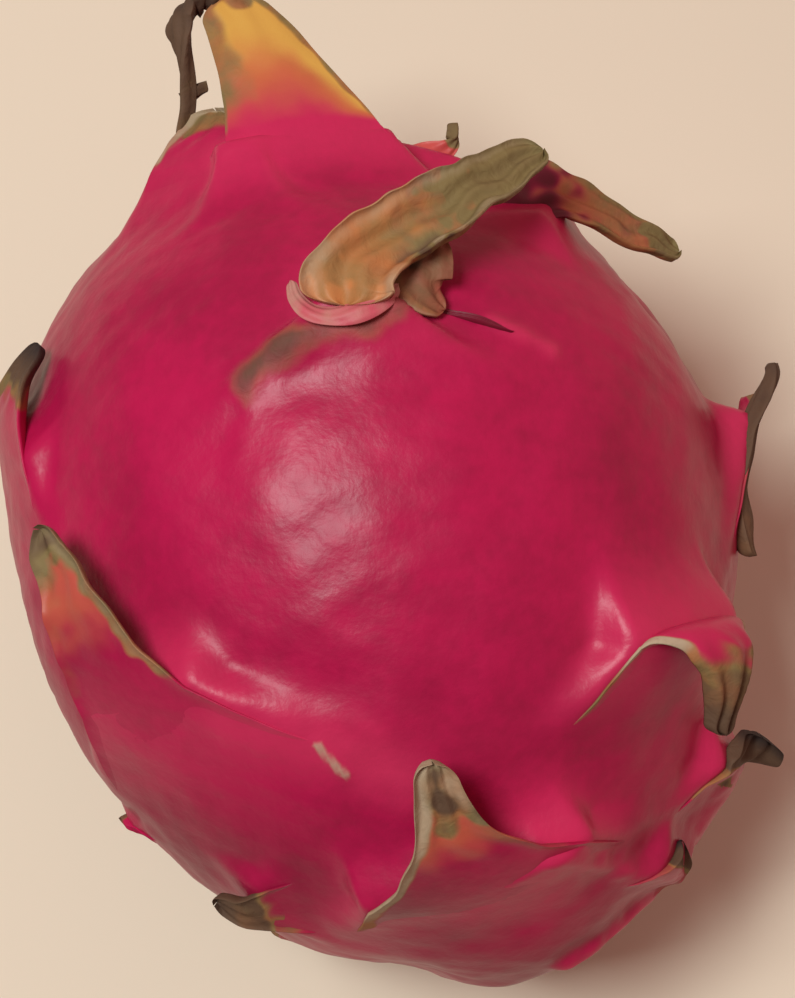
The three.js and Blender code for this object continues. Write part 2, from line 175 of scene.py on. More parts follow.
# The leafy scales, one row each. A scale's root lies at along, in mm on the axis, and around, in
# degrees from the top towards +X. It points heading degrees off the crown. Its half widths are at
# the root, the neck and the tip. It rises by rise over its fused length, then runs free, and its
# free stretch bends by curl outwards, by sweep to the right and by twist, all in degrees. Fillet is
# how far the skin runs up against it, and taper how it narrows. Blush is how much pinker the skin is
# round it, and soft how wide its shingle's edges are, against the others.
SCALE_VALUES = (
    "along", "around", "heading", "widths", "fused", "free", "rise", "thick", "curl", "sweep",
    "twist", "fillet", "taper",
)
SCALE_ROWS = dict(
    crown_horn=(36, 3.5, 0, (16, 9.3, 4.0), 9, 20.5, 4.5, 6, 4, -12, 0, 5.5, 1.05),
    crown_left_scale=(36, -26, 12, (14, 7.4, 2.8), 10, 8.5, 3.4, 2.2, -14, 10, 0, 4.5, 0.8),
    crown_back_scale=(38, 28, 40, (8, 4.6, 1.2), 6, 6, 2.4, 2.2, 0, -20, 0, 4.5, 1.2),
    crown_right_scale=(38, 36, 138, (10, 6, 2.2), 9, 17, 2.8, 2.2, -12, -4, 30, 4.5, 1.2),
    crown_low_right_scale=(30, 112, 6, (12, 8, 1.6), 9, 14, 3, 2.6, -30, 8, 0, 4.5, 1),
    crown_under_scale=(31, 160, 4, (12, 8, 1.5), 9, 13, 3, 2.6, -30, 8, 0, 4.5, 1),
    crown_low_left_scale=(31, -154, -4, (12, 8, 1.5), 9, 14, 3, 2.6, -26, -10, 0, 4.5, 1),
    crown_far_left_scale=(29, -122, -4, (12, 8, 1.7), 9, 13, 3, 2.6, -24, -6, 0, 4.5, 1),
    top_strap_scale=(8, 0, 5, (19, 3, 3.0), 11, 29, 3.6, 1.2, -34, 66, -6, 5, 0.8),
    right_ear_scale=(-17, 90, -6, (18, 8, 2.0), 29, 4, 4.4, 1.6, -20, 0, 0, 3.5, 1),
    left_rim_scale=(5.5, -75, 32, (16, 9, 1.6), 14, 13, 2.6, 2.0, -46, 0, 0, 4.5, 1),
    under_right_scale=(6, 146, 0, (15, 10, 1.4), 13, 12, 2.6, 2.2, -36, 6, 0, 4.5, 1),
    under_left_scale=(4, -142, -6, (15, 10, 1.4), 13, 12, 2.6, 2.2, -36, -6, 0, 4.5, 1),
    left_shoulder_scale=(-33, -45, 2, (24.5, 8.6, 1.5), 18, 22.5, 3.8, 2.4, -40, -35, 0, 4.5, 1.1),
    right_shoulder_scale=(-32, 50.5, -12, (21, 9.3, 2.2), 15, 14, 4.6, 1.4, 172, 0, 0, 6.5, 2.0),
    far_right_scale=(-30, 134, 4, (17, 10, 1.5), 13, 12, 3, 2.4, -34, 0, 0, 4.5, 1),
    far_left_scale=(-32.5, -86, 0, (5, 2.2, 1.2), 5, 2.0, 1.2, 1.8, -30, 0, 0, 3, 1),
    low_left_scale=(-26, -128, 0, (17, 10, 1.5), 14, 11, 3, 2.4, -40, 8, 0, 4.5, 1),
    stem_top_scale=(-49, 10.5, -20, (22, 13.4, 2.2), 12, 21, 3.4, 2.2, -36, 20, 0, 4.5, 1.9),
    stem_left_scale=(-43, -46, -56, (6, 3.6, 1.4), 6, 6, 2.0, 1.4, -40, 0, 0, 4.5, 1),
    stem_right_scale=(-39.5, 84, -18, (13, 5.6, 2.6), 11, 5.2, 3, 1.4, 0, 0, -50, 4.5, 0.8),
    stem_small_scale=(-47.5, 68, 6, (8, 4, 1.2), 8, 4, 2.0, 1.4, -60, 0, 0, 4.5, 1),
    stem_under_right_scale=(-48, 152, 0, (13, 7.5, 1.3), 10, 9, 2.2, 2.0, -26, 0, 0, 4.5, 1),
    stem_under_left_scale=(-48, -136, 0, (13, 7.5, 1.3), 10, 10, 2.2, 2.0, -28, 0, 0, 4.5, 1),
)
SCALES = {name: dict(zip(SCALE_VALUES, row), blush=1, soft=1) for name, row in SCALE_ROWS.items()}
SCALES["left_rim_scale"].update(blush=0)
SCALES["left_shoulder_scale"].update(soft=1.6)
SCALES["stem_small_scale"].update(blush=0.4)

# Soft folds, dents and tints of the skin, most of them run on from the scales' margins: the points
# that each passes, as along and around, then its height, its half width, how pink it is, or maroon
# below 0, and how dry. The last two are flat maroon bands of painted shade.
FOLDS = (
    (((-39.6, 16), (-42.5, 38), (-43.5, 62), (-43, 84)), 0.7, 1.5, 0.5, 0.0),
    (((-52, 60), (-49.5, 76), (-45.4, 88)), 1.1, 1.6, 1.0, 0.1),
    (((-22, -31), (-25, -23), (-28, -14), (-31, -8)), 0.3, 4.5, 0.9, 0.0),
    (((15.5, 20), (13.9, 24), (12, 29)), 0.4, 0.9, 0.8, 0.0),
    (((16.9, 7), (15.3, 3.8), (15.0, -3), (14.8, -8.1)), 0.5, 1.7, -0.2, 0.46),
    (((14.8, -8.1), (13.6, -12.9), (11.8, -15.6)), 0.75, 2.2, -0.3, 0.54),
    (((11.4, -16.2), (8.6, -18.6), (5.6, -20.6), (3.2, -22)), -0.12, 0.9, -0.5, 0.0),
    (((-51.5, -75), (-51, -110)), -1.8, 6.0, 0.0, 0.0),
    (((25, 71), (22.5, 73), (19, 75)), -2.5, 6.0, 0.0, 0.0),
    (((-33.5, 87), (-38.5, 87)), 2.5, 5.0, 0.6, 0.0),
    (((-1, -86), (-14, -88), (-27, -89)), -1.3, 6.5, 0.0, 0.0),
    # Painted shade: flat maroon over the lower left, and along the bottom by the stem.
    (((-34, -66), (-38, -44), (-42, -22)), 0.0, 9.0, -0.5, 0.0),
    (((-51, -30), (-52.5, 20), (-51, 60)), 0.0, 9.0, -0.4, 0.0),
)
SCAR, SCAR_HEIGHT, SCAR_WIDTH = ((-26.4, -18.7), (-30.1, -16.8)), 0.25, 0.75


def grid_faces(rows, columns):
    """The quads of a grid of points that is open along its rows and closed round its columns."""
    row, column = np.meshgrid(np.arange(rows - 1), np.arange(columns), indexing="ij")
    after = (column + 1) % columns
    corners = (row * columns + column, row * columns + after)
    corners += ((row + 1) * columns + after, (row + 1) * columns + column)
    return np.stack(corners, -1).reshape(-1, 4)


def cap_faces(ring, pole):
    """The triangles of a fan from a ring of points to its pole."""
    return np.stack((np.roll(ring, -1), ring, np.full_like(ring, pole)), -1)


def tube_mesh(name, points, attributes, ends=None):
    """A closed mesh from rings of points, shape (rows, columns, 3), with a pole point at each end.

    A pole is the middle of its ring, unless the ends are given. Each attribute has one value for
    each point, and a pole takes its ring's mean.
    """
    rows, columns = points.shape[:2]
    ends = (points[0].mean(0), points[-1].mean(0)) if ends is None else ends
    first_ring = np.arange(columns)
    last_ring = first_ring + (rows - 1) * columns
    poles = rows * columns, rows * columns + 1
    fans = (cap_faces(first_ring, poles[0]), cap_faces(last_ring[::-1], poles[1]))
    faces = grid_faces(rows, columns).tolist() + np.concatenate(fans).tolist()
    vertices = np.concatenate((points.reshape(-1, 3), np.asarray(ends))) * MM
    mesh = bpy.data.meshes.new(name)
    mesh.from_pydata(vertices.tolist(), [], faces)
    for attribute_name, values in attributes.items():
        values = np.append(values.ravel(), (values[0].mean(), values[-1].mean()))
        layer = mesh.attributes.new(attribute_name, "FLOAT", "POINT")
        layer.data.foreach_set("value", values.astype(np.float32))
    mesh.polygons.foreach_set("use_smooth", np.ones(len(mesh.polygons), bool))
    return put_in_scene(name, mesh)


def smoothstep(value, low, high):
    """0 below low and 1 above high, with an even S between them."""
    share = np.clip((value - low) / (high - low), 0, 1)
    return share * share * (3 - 2 * share)


def unit(vectors):
    """Vectors divided by their own length."""
    return vectors / np.linalg.norm(vectors, axis=-1, keepdims=True)


def ripples(points, wavelength, seed, waves=14):
    """Smooth noise of about unit height: plane sine waves of near wavelengths in random directions."""
    random = np.random.default_rng(seed)
    directions = unit(random.normal(size=(waves, 3)))
    turns = 2 * np.pi / (wavelength * random.uniform(0.7, 1.4, waves))
    phases = random.uniform(0, 2 * np.pi, waves)
    angles = np.einsum("...k,wk->...w", points, directions * turns[:, None]) + phases
    return np.sin(angles).sum(-1) / np.sqrt(waves)


def peel_radius(y):
    """Radius of the smooth peel: nearly half an ellipse to the stem, a blunter curve to the crown."""
    to_stem = np.clip((WIDEST - y) / (WIDEST - STEM_END), 0, 1)
    to_crown = np.clip((y - WIDEST) / (CROWN_END - WIDEST), 0, 1)
    round_end = (1 - to_stem**2) ** STEM_ROUND
    blunt_end = (1 - to_crown**CROWN_BEND) ** CROWN_ROUND
    return RADIUS * np.where(y < WIDEST, round_end, blunt_end)


def peel_point(along, around):
    """The point of the smooth peel at a distance on the axis and an angle from the top, in degrees."""
    along, angle = np.broadcast_arrays(np.asarray(along, float), np.radians(around))
    r = peel_radius(along)
    return np.stack((r * np.sin(angle), along, AXIS_HEIGHT + r * np.cos(angle)), -1)


def peel_normal(points):
    """Outward normals of the smooth peel: round the axis, tilted by the slope of the radius."""
    step = 0.02
    y = points[..., 1]
    slope = (peel_radius(y + step) - peel_radius(y - step)) / (2 * step)
    across = np.maximum(np.hypot(points[..., 0], points[..., 2] - AXIS_HEIGHT), 1e-6)
    out = np.stack((points[..., 0] / across, -slope, (points[..., 2] - AXIS_HEIGHT) / across), -1)
    return unit(out)


def onto_peel(points):
    """Where the line from the fruit's centre through each point meets the smooth peel, by halving."""
    rays = points - CENTRE
    round_part = np.hypot(rays[..., 0], rays[..., 2])
    inside = np.zeros(rays.shape[:-1])
    outside = inside + 4
    for _ in range(36):
        middle = (inside + outside) / 2
        beyond = middle * round_part > peel_radius(middle * rays[..., 1])
        outside = np.where(beyond, middle, outside)
        inside = np.where(beyond, inside, middle)
    return rays * inside[..., None] + CENTRE


def lumps(points):
    """Slow waves round the peel, in mm, that die out towards both ends."""
    angle = np.arctan2(points[..., 0], points[..., 2] - AXIS_HEIGHT)
    y = points[..., 1]
    reach = np.sin(np.pi * (y - STEM_END) / (CROWN_END - STEM_END))
    return reach * (0.3 * np.cos(2 * angle + 0.7) + 0.4 * np.cos(3 * angle - 1 + y / 30))


def lean(points):
    """Slides both ends sideways by the square of their distance from the middle."""
    y = points[..., 1]
    share = np.maximum(0, np.abs(y) - LEAN_FROM) / (CROWN_END - LEAN_FROM)
    leaning = points.copy()
    leaning[..., 0] += np.where(y < 0, STEM_LEAN, CROWN_LEAN) * share**2
    return leaning


def root_frame(scale):
    """A scale's root on the smooth peel, and its forward, side and outward directions there."""
    turn = np.radians(scale["heading"])
    root = peel_point(scale["along"], scale["around"])
    out = peel_normal(root)
    ahead = unit(AHEAD - out * out[1])
    forward = ahead * np.cos(turn) + np.cross(ahead, out) * np.sin(turn)
    return root, forward, np.cross(forward, out), out


def half_width(scale, s):
    """Half a scale's width at s mm from its root: flared to the neck, then tapering to the tip."""
    root, neck, tip = scale["widths"]
    fused = np.clip(s / scale["fused"], 0, 1)
    free = np.clip((s - scale["fused"]) / scale["free"], 0, 1)
    flared = root + (neck - root) * fused**FLARE
    return np.where(free > 0, tip + (neck - tip) * (1 - free) ** scale["taper"], flared)


def rise_at(scale, s):
    """How far the fused stretch has risen out of the smooth peel."""
    return scale["rise"] * np.clip(s / scale["fused"], 0, 1) ** RISE


def shingle(scale, points):
    """The swelling under one scale at points of the peel: its height, and how pink it is.

    Each point is carried to the scale's own plane along the line to the fruit's centre. Inside the
    outline the height is the scale's rise. It falls over a soft edge beside the margins, sharper
    towards the neck, and over the fillet ahead of the neck. The skin is pinkest just beyond them.
    """
    root, forward, side, out = root_frame(scale)
    rays = points - CENTRE
    facing = rays @ out
    seen = facing > 5
    reach = np.where(seen, (root - CENTRE) @ out / np.where(seen, facing, 1), 0)
    flat = rays * reach[..., None] + CENTRE - root
    s = flat @ forward
    inner = np.clip(s, 0, scale["fused"])
    beside = np.abs(flat @ side) - half_width(scale, inner)
    beyond = np.maximum(s - scale["fused"], 0)
    share = inner / scale["fused"]
    soft = (EDGE - EDGE_LOSES * share) * scale["soft"]
    side_fall = np.exp(-((np.maximum(beside, 0) / soft) ** 2))
    height = rise_at(scale, inner) * side_fall * np.exp(-((beyond / scale["fillet"]) ** 2))
    near = np.exp(-((np.maximum(beside, 0) / PINK_BESIDE) ** 2) - (beyond / PINK_AHEAD) ** 2)
    outside = smoothstep(np.maximum(beside, beyond), -1.5, 1)
    pink = near * outside * smoothstep(share, 0.2, 0.9)
    return np.where(seen, height, 0), np.where(seen, pink, 0)


def distance_to(points, track):
    """Distance from points to a track of straight stretches between points of the smooth peel."""
    nearest = np.full(points.shape[:-1], 1e9)
    corners = peel_point(*np.transpose(track))
    for start, end in zip(corners[:-1], corners[1:]):
        stretch = end - start
        share = np.clip((points - start) @ stretch / (stretch @ stretch), 0, 1)
        away = np.linalg.norm(points - start - share[..., None] * stretch, axis=-1)
        nearest = np.minimum(nearest, away)
    return nearest


def peel_lift(points):
    """How far the skin stands off the smooth peel at its points, and how pink and dry it is.

    The lift is the cube root of the summed cubes of the shingles, so the highest wins, plus the
    folds, slow lumps and fine ripples.
    """
    cubes, pink, dry = np.zeros((3, *points.shape[:-1]))
    for scale in SCALES.values():
        height, near = shingle(scale, points)
        cubes += height**3
        pink = np.maximum(pink, near * min(scale["rise"] / 5, 1) * scale["blush"])
    lift = np.cbrt(cubes) + lumps(points)
    for seed, (height, wavelength) in enumerate(RIPPLES, 1):
        lift += height * ripples(points, wavelength, seed)
    stray = STRAY * ripples(points, STRAY_WAVE, 3)
    for track, height, width, blush, brown in FOLDS:
        near = np.exp(-(((distance_to(points, track) + stray) / width) ** 2))
        lift += height * near
        # Below 0 a fold darkens the skin towards maroon; the flat bands use this as painted shade.
        pink = np.maximum(pink, blush * near) if blush >= 0 else pink + blush * near
        dry = np.maximum(dry, brown * near)
    return lift, pink, dry


def peel_surface(points):
    """The skin at points of the smooth peel, and how pink, dry and scarred it is there.

    Both ends sink in a dimple, and the table flattens the lowest part.
    """
    lift, pink, dry = peel_lift(points)
    scar = np.exp(-((distance_to(points, SCAR) / SCAR_WIDTH) ** 4))
    lifted = points + peel_normal(points) * (lift + SCAR_HEIGHT * scar)[..., None]
    for end, dimple in ((STEM_END, STEM_DIMPLE), (CROWN_END, CROWN_DIMPLE)):
        towards = np.sign(end)
        r = np.hypot(points[..., 0], points[..., 2] - AXIS_HEIGHT + dimple["drop"])
        sink = dimple["depth"] * np.exp(-((r / dimple["width"]) ** 2))
        lifted[..., 1] -= towards * np.where(points[..., 1] * towards > DIMPLES_FROM, sink, 0)
    lifted[..., 2] = np.maximum(lifted[..., 2], 0)
    return lean(lifted), pink, dry, scar


turn = np.linspace(0, np.pi, PEEL_ROWS + 2)[:, None]
reach = np.where(np.cos(turn) > 0, WIDEST - STEM_END, CROWN_END - WIDEST)
peel_y = WIDEST - np.cos(turn) * reach
peel_angle = np.linspace(0, 2 * np.pi, PEEL_COLUMNS, endpoint=False)
peel_points, peel_pink, peel_dry, peel_scar = peel_surface(peel_point(peel_y, np.degrees(peel_angle)))
peel_values = dict(pink=peel_pink, dry=peel_dry, warm=0 * peel_dry, pale=peel_scar - 1.2 * peel_dry)
peel = tube_mesh(
    "fruit_peel",
    peel_points[1:-1],
    {label: values[1:-1] for label, values in peel_values.items()},
    ends=(peel_points[0].mean(0), peel_points[-1].mean(0)),
)


def mix_colour(tree, share, below, above):
    """A colour that goes from below to above with a share, as a socket."""
    node = tree.nodes.new("ShaderNodeMix")
    node.data_type = "RGBA"
    sockets = [s for s in node.inputs if s.type == "RGBA"]
    feed(tree, node.inputs[0], share)
    for socket, colour in zip(sockets, (below, above)):
        feed(tree, socket, (*colour, 1) if isinstance(colour, tuple) else colour)
    return next(s for s in node.outputs if s.type == "RGBA")


def spread(tree, value, low, high):
    """A value carried from the span low to high onto 0 to 1, smoothly and clamped, as a socket."""
    node = tree.nodes.new("ShaderNodeMapRange")
    node.interpolation_type = "SMOOTHSTEP"
    tree.links.new(value, node.inputs["Value"])
    node.inputs["From Min"].default_value = low
    node.inputs["From Max"].default_value = high
    return node.outputs["Result"]


def new_group(name, inputs, outputs):
    """An empty shader group with named inputs, their default values, and named outputs."""
    group = bpy.data.node_groups.new(name, "ShaderNodeTree")
    for label, (kind, default) in inputs.items():
        socket = group.interface.new_socket(label, in_out="INPUT", socket_type=kind)
        socket.default_value = default
    for label, kind in outputs.items():
        group.interface.new_socket(label, in_out="OUTPUT", socket_type=kind)
    return group, group.nodes.new("NodeGroupInput"), group.nodes.new("NodeGroupOutput")


def attribute(tree, name):
    """A value that the mesh holds at its points, as a socket."""
    node = tree.nodes.new("ShaderNodeAttribute")
    node.attribute_name = name
    return node.outputs["Fac"]


def place_on(tree):
    """The place on the object, as a socket."""
    return tree.nodes.new("ShaderNodeTexCoord").outputs["Object"]


def noise(tree, size, place=None, **more):
    """How strong a noise texture is, as a socket. Size is how many waves it has in a metre."""
    place = place or place_on(tree)
    return add_node(tree, "ShaderNodeTexNoise", Vector=place, Scale=size, **more).outputs["Fac"]


COLOUR, NUMBER = "NodeSocketColor", "NodeSocketFloat"


def build_mottle():
    """Slow blotches and finer freckles, as one mask from 0 to 1."""
    group, given, result = new_group("Mottle", {"Size": (NUMBER, 60.0)}, {"Mask": NUMBER})
    slow = noise(group, given.outputs["Size"], Detail=4.0, Roughness=0.55)
    fine = noise(group, maths(group, "MULTIPLY", given.outputs["Size"], 14.0))
    both = maths(group, "MULTIPLY_ADD", fine, 0.25, slow)
    group.links.new(spread(group, both, 0.42, 0.85), result.inputs["Mask"])
    return group


def build_skin_grain():
    """The height of waxy skin's fine pores, and of the fibres that show where it has dried."""
    inputs = {"Dry": (NUMBER, 0.0)}
    group, given, result = new_group("Skin Grain", inputs, {"Height": NUMBER})
    pores = noise(group, 1100.0, Detail=3.0)
    dents = noise(group, 210.0)
    fibres = noise(group, 520.0, Detail=6.0, Distortion=1.2)
    fresh = maths(group, "MULTIPLY_ADD", dents, 1.1, pores)
    rest = maths(group, "SUBTRACT", maths(group, "MULTIPLY", fibres, 6.0), fresh)
    height = maths(group, "MULTIPLY_ADD", rest, given.outputs["Dry"], fresh)
    group.links.new(height, result.inputs["Height"])
    return group


# The colours that skin passes through as it dries: fresh to orange and yellow where it is warm, then
# olive or rust in blotches, brown and black. The bleached colour is that of rubbed, dried margins.
ORANGE, YELLOW = (0.50, 0.115, 0.05), (0.58, 0.30, 0.062)
OLIVE, RUST = (0.185, 0.125, 0.050), (0.31, 0.118, 0.046)
BROWN, BLACK = (0.105, 0.056, 0.034), (0.028, 0.018, 0.018)
BLEACHED = (0.40, 0.29, 0.20)


def build_drying():
    """A fresh skin colour that turns orange and yellow, then olive, brown and black as it dries.

    Pale bleaches what has dried where it is above 0, and darkens it below 0. Warm below 0 turns what
    has dried from rust to olive.
    """
    inputs = {
        "Fresh": (COLOUR, (0.5, 0.02, 0.08, 1)),
        "Warm": (NUMBER, 0.0),
        "Dry": (NUMBER, 0.0),
        "Pale": (NUMBER, 0.0),
    }
    outputs = {"Colour": COLOUR, "Roughness": NUMBER, "Dry": NUMBER}
    group, given, result = new_group("Drying", inputs, outputs)
    fresh, warm, dry, pale = (given.outputs[label] for label in inputs)
    fine = noise(group, 330.0, Detail=5.0)
    blotch = noise(group, 170.0, Detail=4.0)
    uneven = maths(group, "MULTIPLY_ADD", fine, 0.36, -0.18)
    dry_in = maths(group, "ADD", dry, uneven)
    dried_out = spread(group, dry_in, 0.14, 0.68)
    warm_in = maths(group, "MULTIPLY_ADD", uneven, 0.35, warm)
    orange = mix_colour(group, spread(group, warm_in, 0.08, 0.6), fresh, ORANGE)
    yellow = mix_colour(group, spread(group, warm_in, 0.5, 1.0), orange, YELLOW)
    greener = maths(group, "MINIMUM", warm, 0.0)
    tone = spread(group, maths(group, "MULTIPLY_ADD", greener, 0.4, blotch), 0.38, 0.62)
    olive = mix_colour(group, tone, OLIVE, RUST)
    darker = maths(group, "SUBTRACT", dry_in, pale)
    brown = mix_colour(group, spread(group, darker, 0.7, 1.15), olive, BROWN)
    black = mix_colour(group, spread(group, darker, 1.2, 1.7), brown, BLACK)
    bleached_in = maths(group, "ADD", pale, uneven)
    dried = mix_colour(group, spread(group, bleached_in, 0.15, 0.8), black, BLEACHED)
    group.links.new(mix_colour(group, dried_out, yellow, dried), result.inputs["Colour"])
    rough = maths(group, "MULTIPLY_ADD", dried_out, 0.38, 0.31)
    rougher = maths(group, "MULTIPLY_ADD", fine, 0.12, rough)
    group.links.new(rougher, result.inputs["Roughness"])
    group.links.new(dried_out, result.inputs["Dry"])
    return group


MOTTLE = build_mottle()
SKIN_GRAIN = build_skin_grain()
DRYING = build_drying()
CRIMSON, DEEP_CRIMSON = (0.43, 0.0065, 0.062), (0.29, 0.006, 0.042)
# Maroon is partly the skin's own dark red and partly painted shade.
BRIGHT_PINK, MAROON = (0.58, 0.030, 0.098), (0.105, 0.008, 0.018)
WAX_SHINE, GRAIN_STRENGTH, GRAIN_HEIGHT = 0.19, 0.26, 0.2
SKIN_MOTTLE = 45.0  # waves in a metre


def skin_material(name, mottle_size):
    """Waxy skin that reads how pink, warm, dry and pale it is from the mesh.

    Pink is bright above 0, and maroon below it. In places the maroon is painted shade.
    """
    material, tree, shader = new_material(name, Specular_IOR_Level=WAX_SHINE)
    pink, warm, dry, pale = (attribute(tree, label) for label in ("pink", "warm", "dry", "pale"))
    mottle = add_node(tree, "ShaderNodeGroup", MOTTLE, Size=mottle_size).outputs["Mask"]
    skin = mix_colour(tree, mottle, CRIMSON, DEEP_CRIMSON)
    skin = mix_colour(tree, maths(tree, "MULTIPLY", pink, -1.0), skin, MAROON)
    skin = mix_colour(tree, maths(tree, "MULTIPLY", pink, 0.75), skin, BRIGHT_PINK)
    dry_in = maths(tree, "MAXIMUM", dry, maths(tree, "MULTIPLY", pale, 0.5))
    dried = add_node(tree, "ShaderNodeGroup", DRYING, Fresh=skin, Warm=warm, Dry=dry_in, Pale=pale)
    tree.links.new(dried.outputs["Colour"], shader.inputs["Base Color"])
    tree.links.new(dried.outputs["Roughness"], shader.inputs["Roughness"])
    grain = add_node(tree, "ShaderNodeGroup", SKIN_GRAIN, Dry=dried.outputs["Dry"])
    bump = add_node(
        tree, "ShaderNodeBump", Strength=GRAIN_STRENGTH, Distance=GRAIN_HEIGHT * MM,
        Height=grain.outputs["Height"],
    )
    tree.links.new(bump.outputs["Normal"], shader.inputs["Normal"])
    return material


peel.data.materials.append(skin_material("waxy_peel", SKIN_MOTTLE))
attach(peel, "root")
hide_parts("peel")

# ---------------------------------------------------------------- fleshy scales
# These are leaves that grew out of the peel: fleshy and crimson at the root, orange to yellow
# further on, and dried to olive and brown at the margins and the tip. The root is sunk in the
# shingle that carries it, and the margins run on down the shingle's sides as thin beads.

BLADE_ROWS, BLADE_COLUMNS = 110, 72
LEAF = 0.6  # thickness at a margin
SUNK = 0.35  # how deep the outer face lies in the skin at the root
ROOT = 0.12  # share of the fused length at which the blade begins
TIP = 0.1  # share of the free stretch over which the tip rounds off
STRAIGHT = 1e-4  # least curvature of a section, in 1/mm

# What sets each scale apart, over what most of them have.
# The face: it dries over the shares dry of the free stretch, as far as full says, and warms over the
# shares warm, up to heat. Slant pushes the warm front to one side, tan dries the left side, deep is
# how maroon the neck is, and dark how black the tip is.
# The margins: they have dried over margin mm at the neck and at the tip. Rims is how dry they are
# beyond the neck, and legs further down, left and right. Bead is how high the legs stand. Pale is how
# bleached the margins are, which fades over the shares fade of the free stretch.
# The shape: roll curls the margins outwards, and fold is the height of the long folds, both in mm.
# Bend is the section's curvature at the tip. Ragged is how uneven the width is. Ease above 0 curls
# the blade early, and late above 0 sweeps it late. Proud is how many mm the face stands above the
# skin at the neck.
MOST_SCALES = dict(
    dry=(0.62, 1.0), warm=(0.15, 1.0), heat=0.75, slant=0, margin=(0.7, 1.6), legs=(0.5, 0.5),
    dark=0.3, pale=0.2, roll=0.4, bend=-1 / RADIUS, fold=0.12, ragged=0.04, ease=0, late=0, bead=0.5,
    tan=0, full=0.75, fade=(1, 2), rims=(0.8, 0.8), deep=0, proud=0.12,
)
OWN_LOOKS = dict(
    crown_horn=dict(
        dry=(0.88, 1.02), warm=(-0.2, 1.08), heat=1.12, slant=0.7, margin=(0.4, 1.3), legs=(0, 0.1),
        dark=0.1, pale=0, roll=0.2, bend=-1 / 14, fold=0.08, ragged=0.01, tan=0.62, bead=0,
    ),
    crown_left_scale=dict(
        dry=(0.4, 0.8), heat=0.2, margin=(0.8, 1.6), legs=(0, 0), pale=0.7, dark=0, bead=0,
    ),
    right_ear_scale=dict(dry=(0.9, 1.4), heat=0.1, margin=(0.4, 0.8), legs=(0.4, 0.4), dark=0.6),
    left_rim_scale=dict(
        dry=(0.3, 0.7), heat=0, margin=(1.8, 2.6), legs=(1.1, 0), dark=0.5, full=1.1, pale=0,
        rims=(1.0, 0.1), bead=0.2,
    ),
    left_shoulder_scale=dict(
        dry=(0.7, 0.9), warm=(0.1, 0.6), heat=0.38, margin=(1.5, 2.4), legs=(0.1, 0.1), pale=0.35,
        dark=0.45, full=0.85, roll=0.6, late=2, bend=-1 / 20, rims=(0.35, 1.0), deep=0.3,
    ),
    right_shoulder_scale=dict(
        dry=(0.2, 0.5), heat=0, margin=(0.6, 1.4), legs=(1.0, 0.8), pale=0.8, dark=0.2, full=0.95,
        fade=(0.12, 0.32), roll=0.3, bend=1 / 12, ease=3, fold=0.4, ragged=0.12,
    ),
    far_left_scale=dict(
        dry=(0.9, 1.6), heat=0, margin=(0.2, 0.4), legs=(0, 0), dark=0, rims=(0, 0), pale=-0.5,
    ),
    stem_top_scale=dict(
        dry=(0.5, 0.75), warm=(0.22, 0.52), heat=0.42, margin=(1.5, 2.0), legs=(1.0, 0.3), pale=0.6,
        dark=0.1, full=1.15, roll=0.5, fold=0.2, late=1, rims=(0.9, 0.45), deep=0.4,
    ),
    stem_small_scale=dict(dry=(0.05, 0.3), heat=0, margin=(1, 1.5), dark=0.5, full=1.2, pale=0),
)


def turned(vector, axis, angle):
    """A vector turned about a unit axis by Rodrigues' formula."""
    along = axis * (axis @ vector) * (1 - np.cos(angle))
    return vector * np.cos(angle) + np.cross(axis, vector) * np.sin(angle) + along


def over_root(scale, s, w):
    """Points of the smooth peel s ahead of a scale's root and w to its side."""
    root, forward, side, _ = root_frame(scale)
    return onto_peel(root + s[..., None] * forward + w[..., None] * side)


def skin_over(smooth):
    """Points of the skin over points of the smooth peel."""
    return smooth + peel_normal(smooth) * peel_lift(smooth)[0][..., None]


def centreline(scale, look):
    """A scale's path in even steps of s: place, side and outward directions.

    It follows the skin up to the neck. Beyond it each step turns the directions by the step's share
    of curl, sweep and twist. With ease above 0 the curl dies away towards the tip, and with late
    above 0 the sweep grows towards it.
    """
    s = np.linspace(ROOT * scale["fused"], scale["fused"] + scale["free"], BLADE_ROWS)
    fused = np.minimum(s, scale["fused"])
    places = skin_over(over_root(scale, fused, 0 * s))
    forwards = unit(places - skin_over(over_root(scale, fused - 0.4, 0 * s)))
    outs = peel_normal(onto_peel(places))
    outs = unit(outs - forwards * (outs * forwards).sum(-1, keepdims=True))
    for i in np.flatnonzero(s > scale["fused"]):
        run = min(s[1] - s[0], s[i] - scale["fused"])
        left = 1 - (s[i] - scale["fused"] - run / 2) / scale["free"]
        share = run / scale["free"] * (1 + look["ease"]) * left ** look["ease"]
        late = run / scale["free"] * (1 + look["late"]) * (1 - left) ** look["late"]
        curl, twist = (np.radians(scale[k]) * share for k in ("curl", "twist"))
        sweep = np.radians(scale["sweep"]) * late
        forward, out = forwards[i - 1], outs[i - 1]
        side = np.cross(forward, out)
        forward, out = turned(forward, side, curl), turned(out, side, curl)
        forward = turned(forward, out, -sweep)
        out = turned(out, forward, twist)
        places[i] = places[i - 1] + forward * run
        forwards[i], outs[i] = forward, out
    return s, places, np.cross(forwards, outs), outs


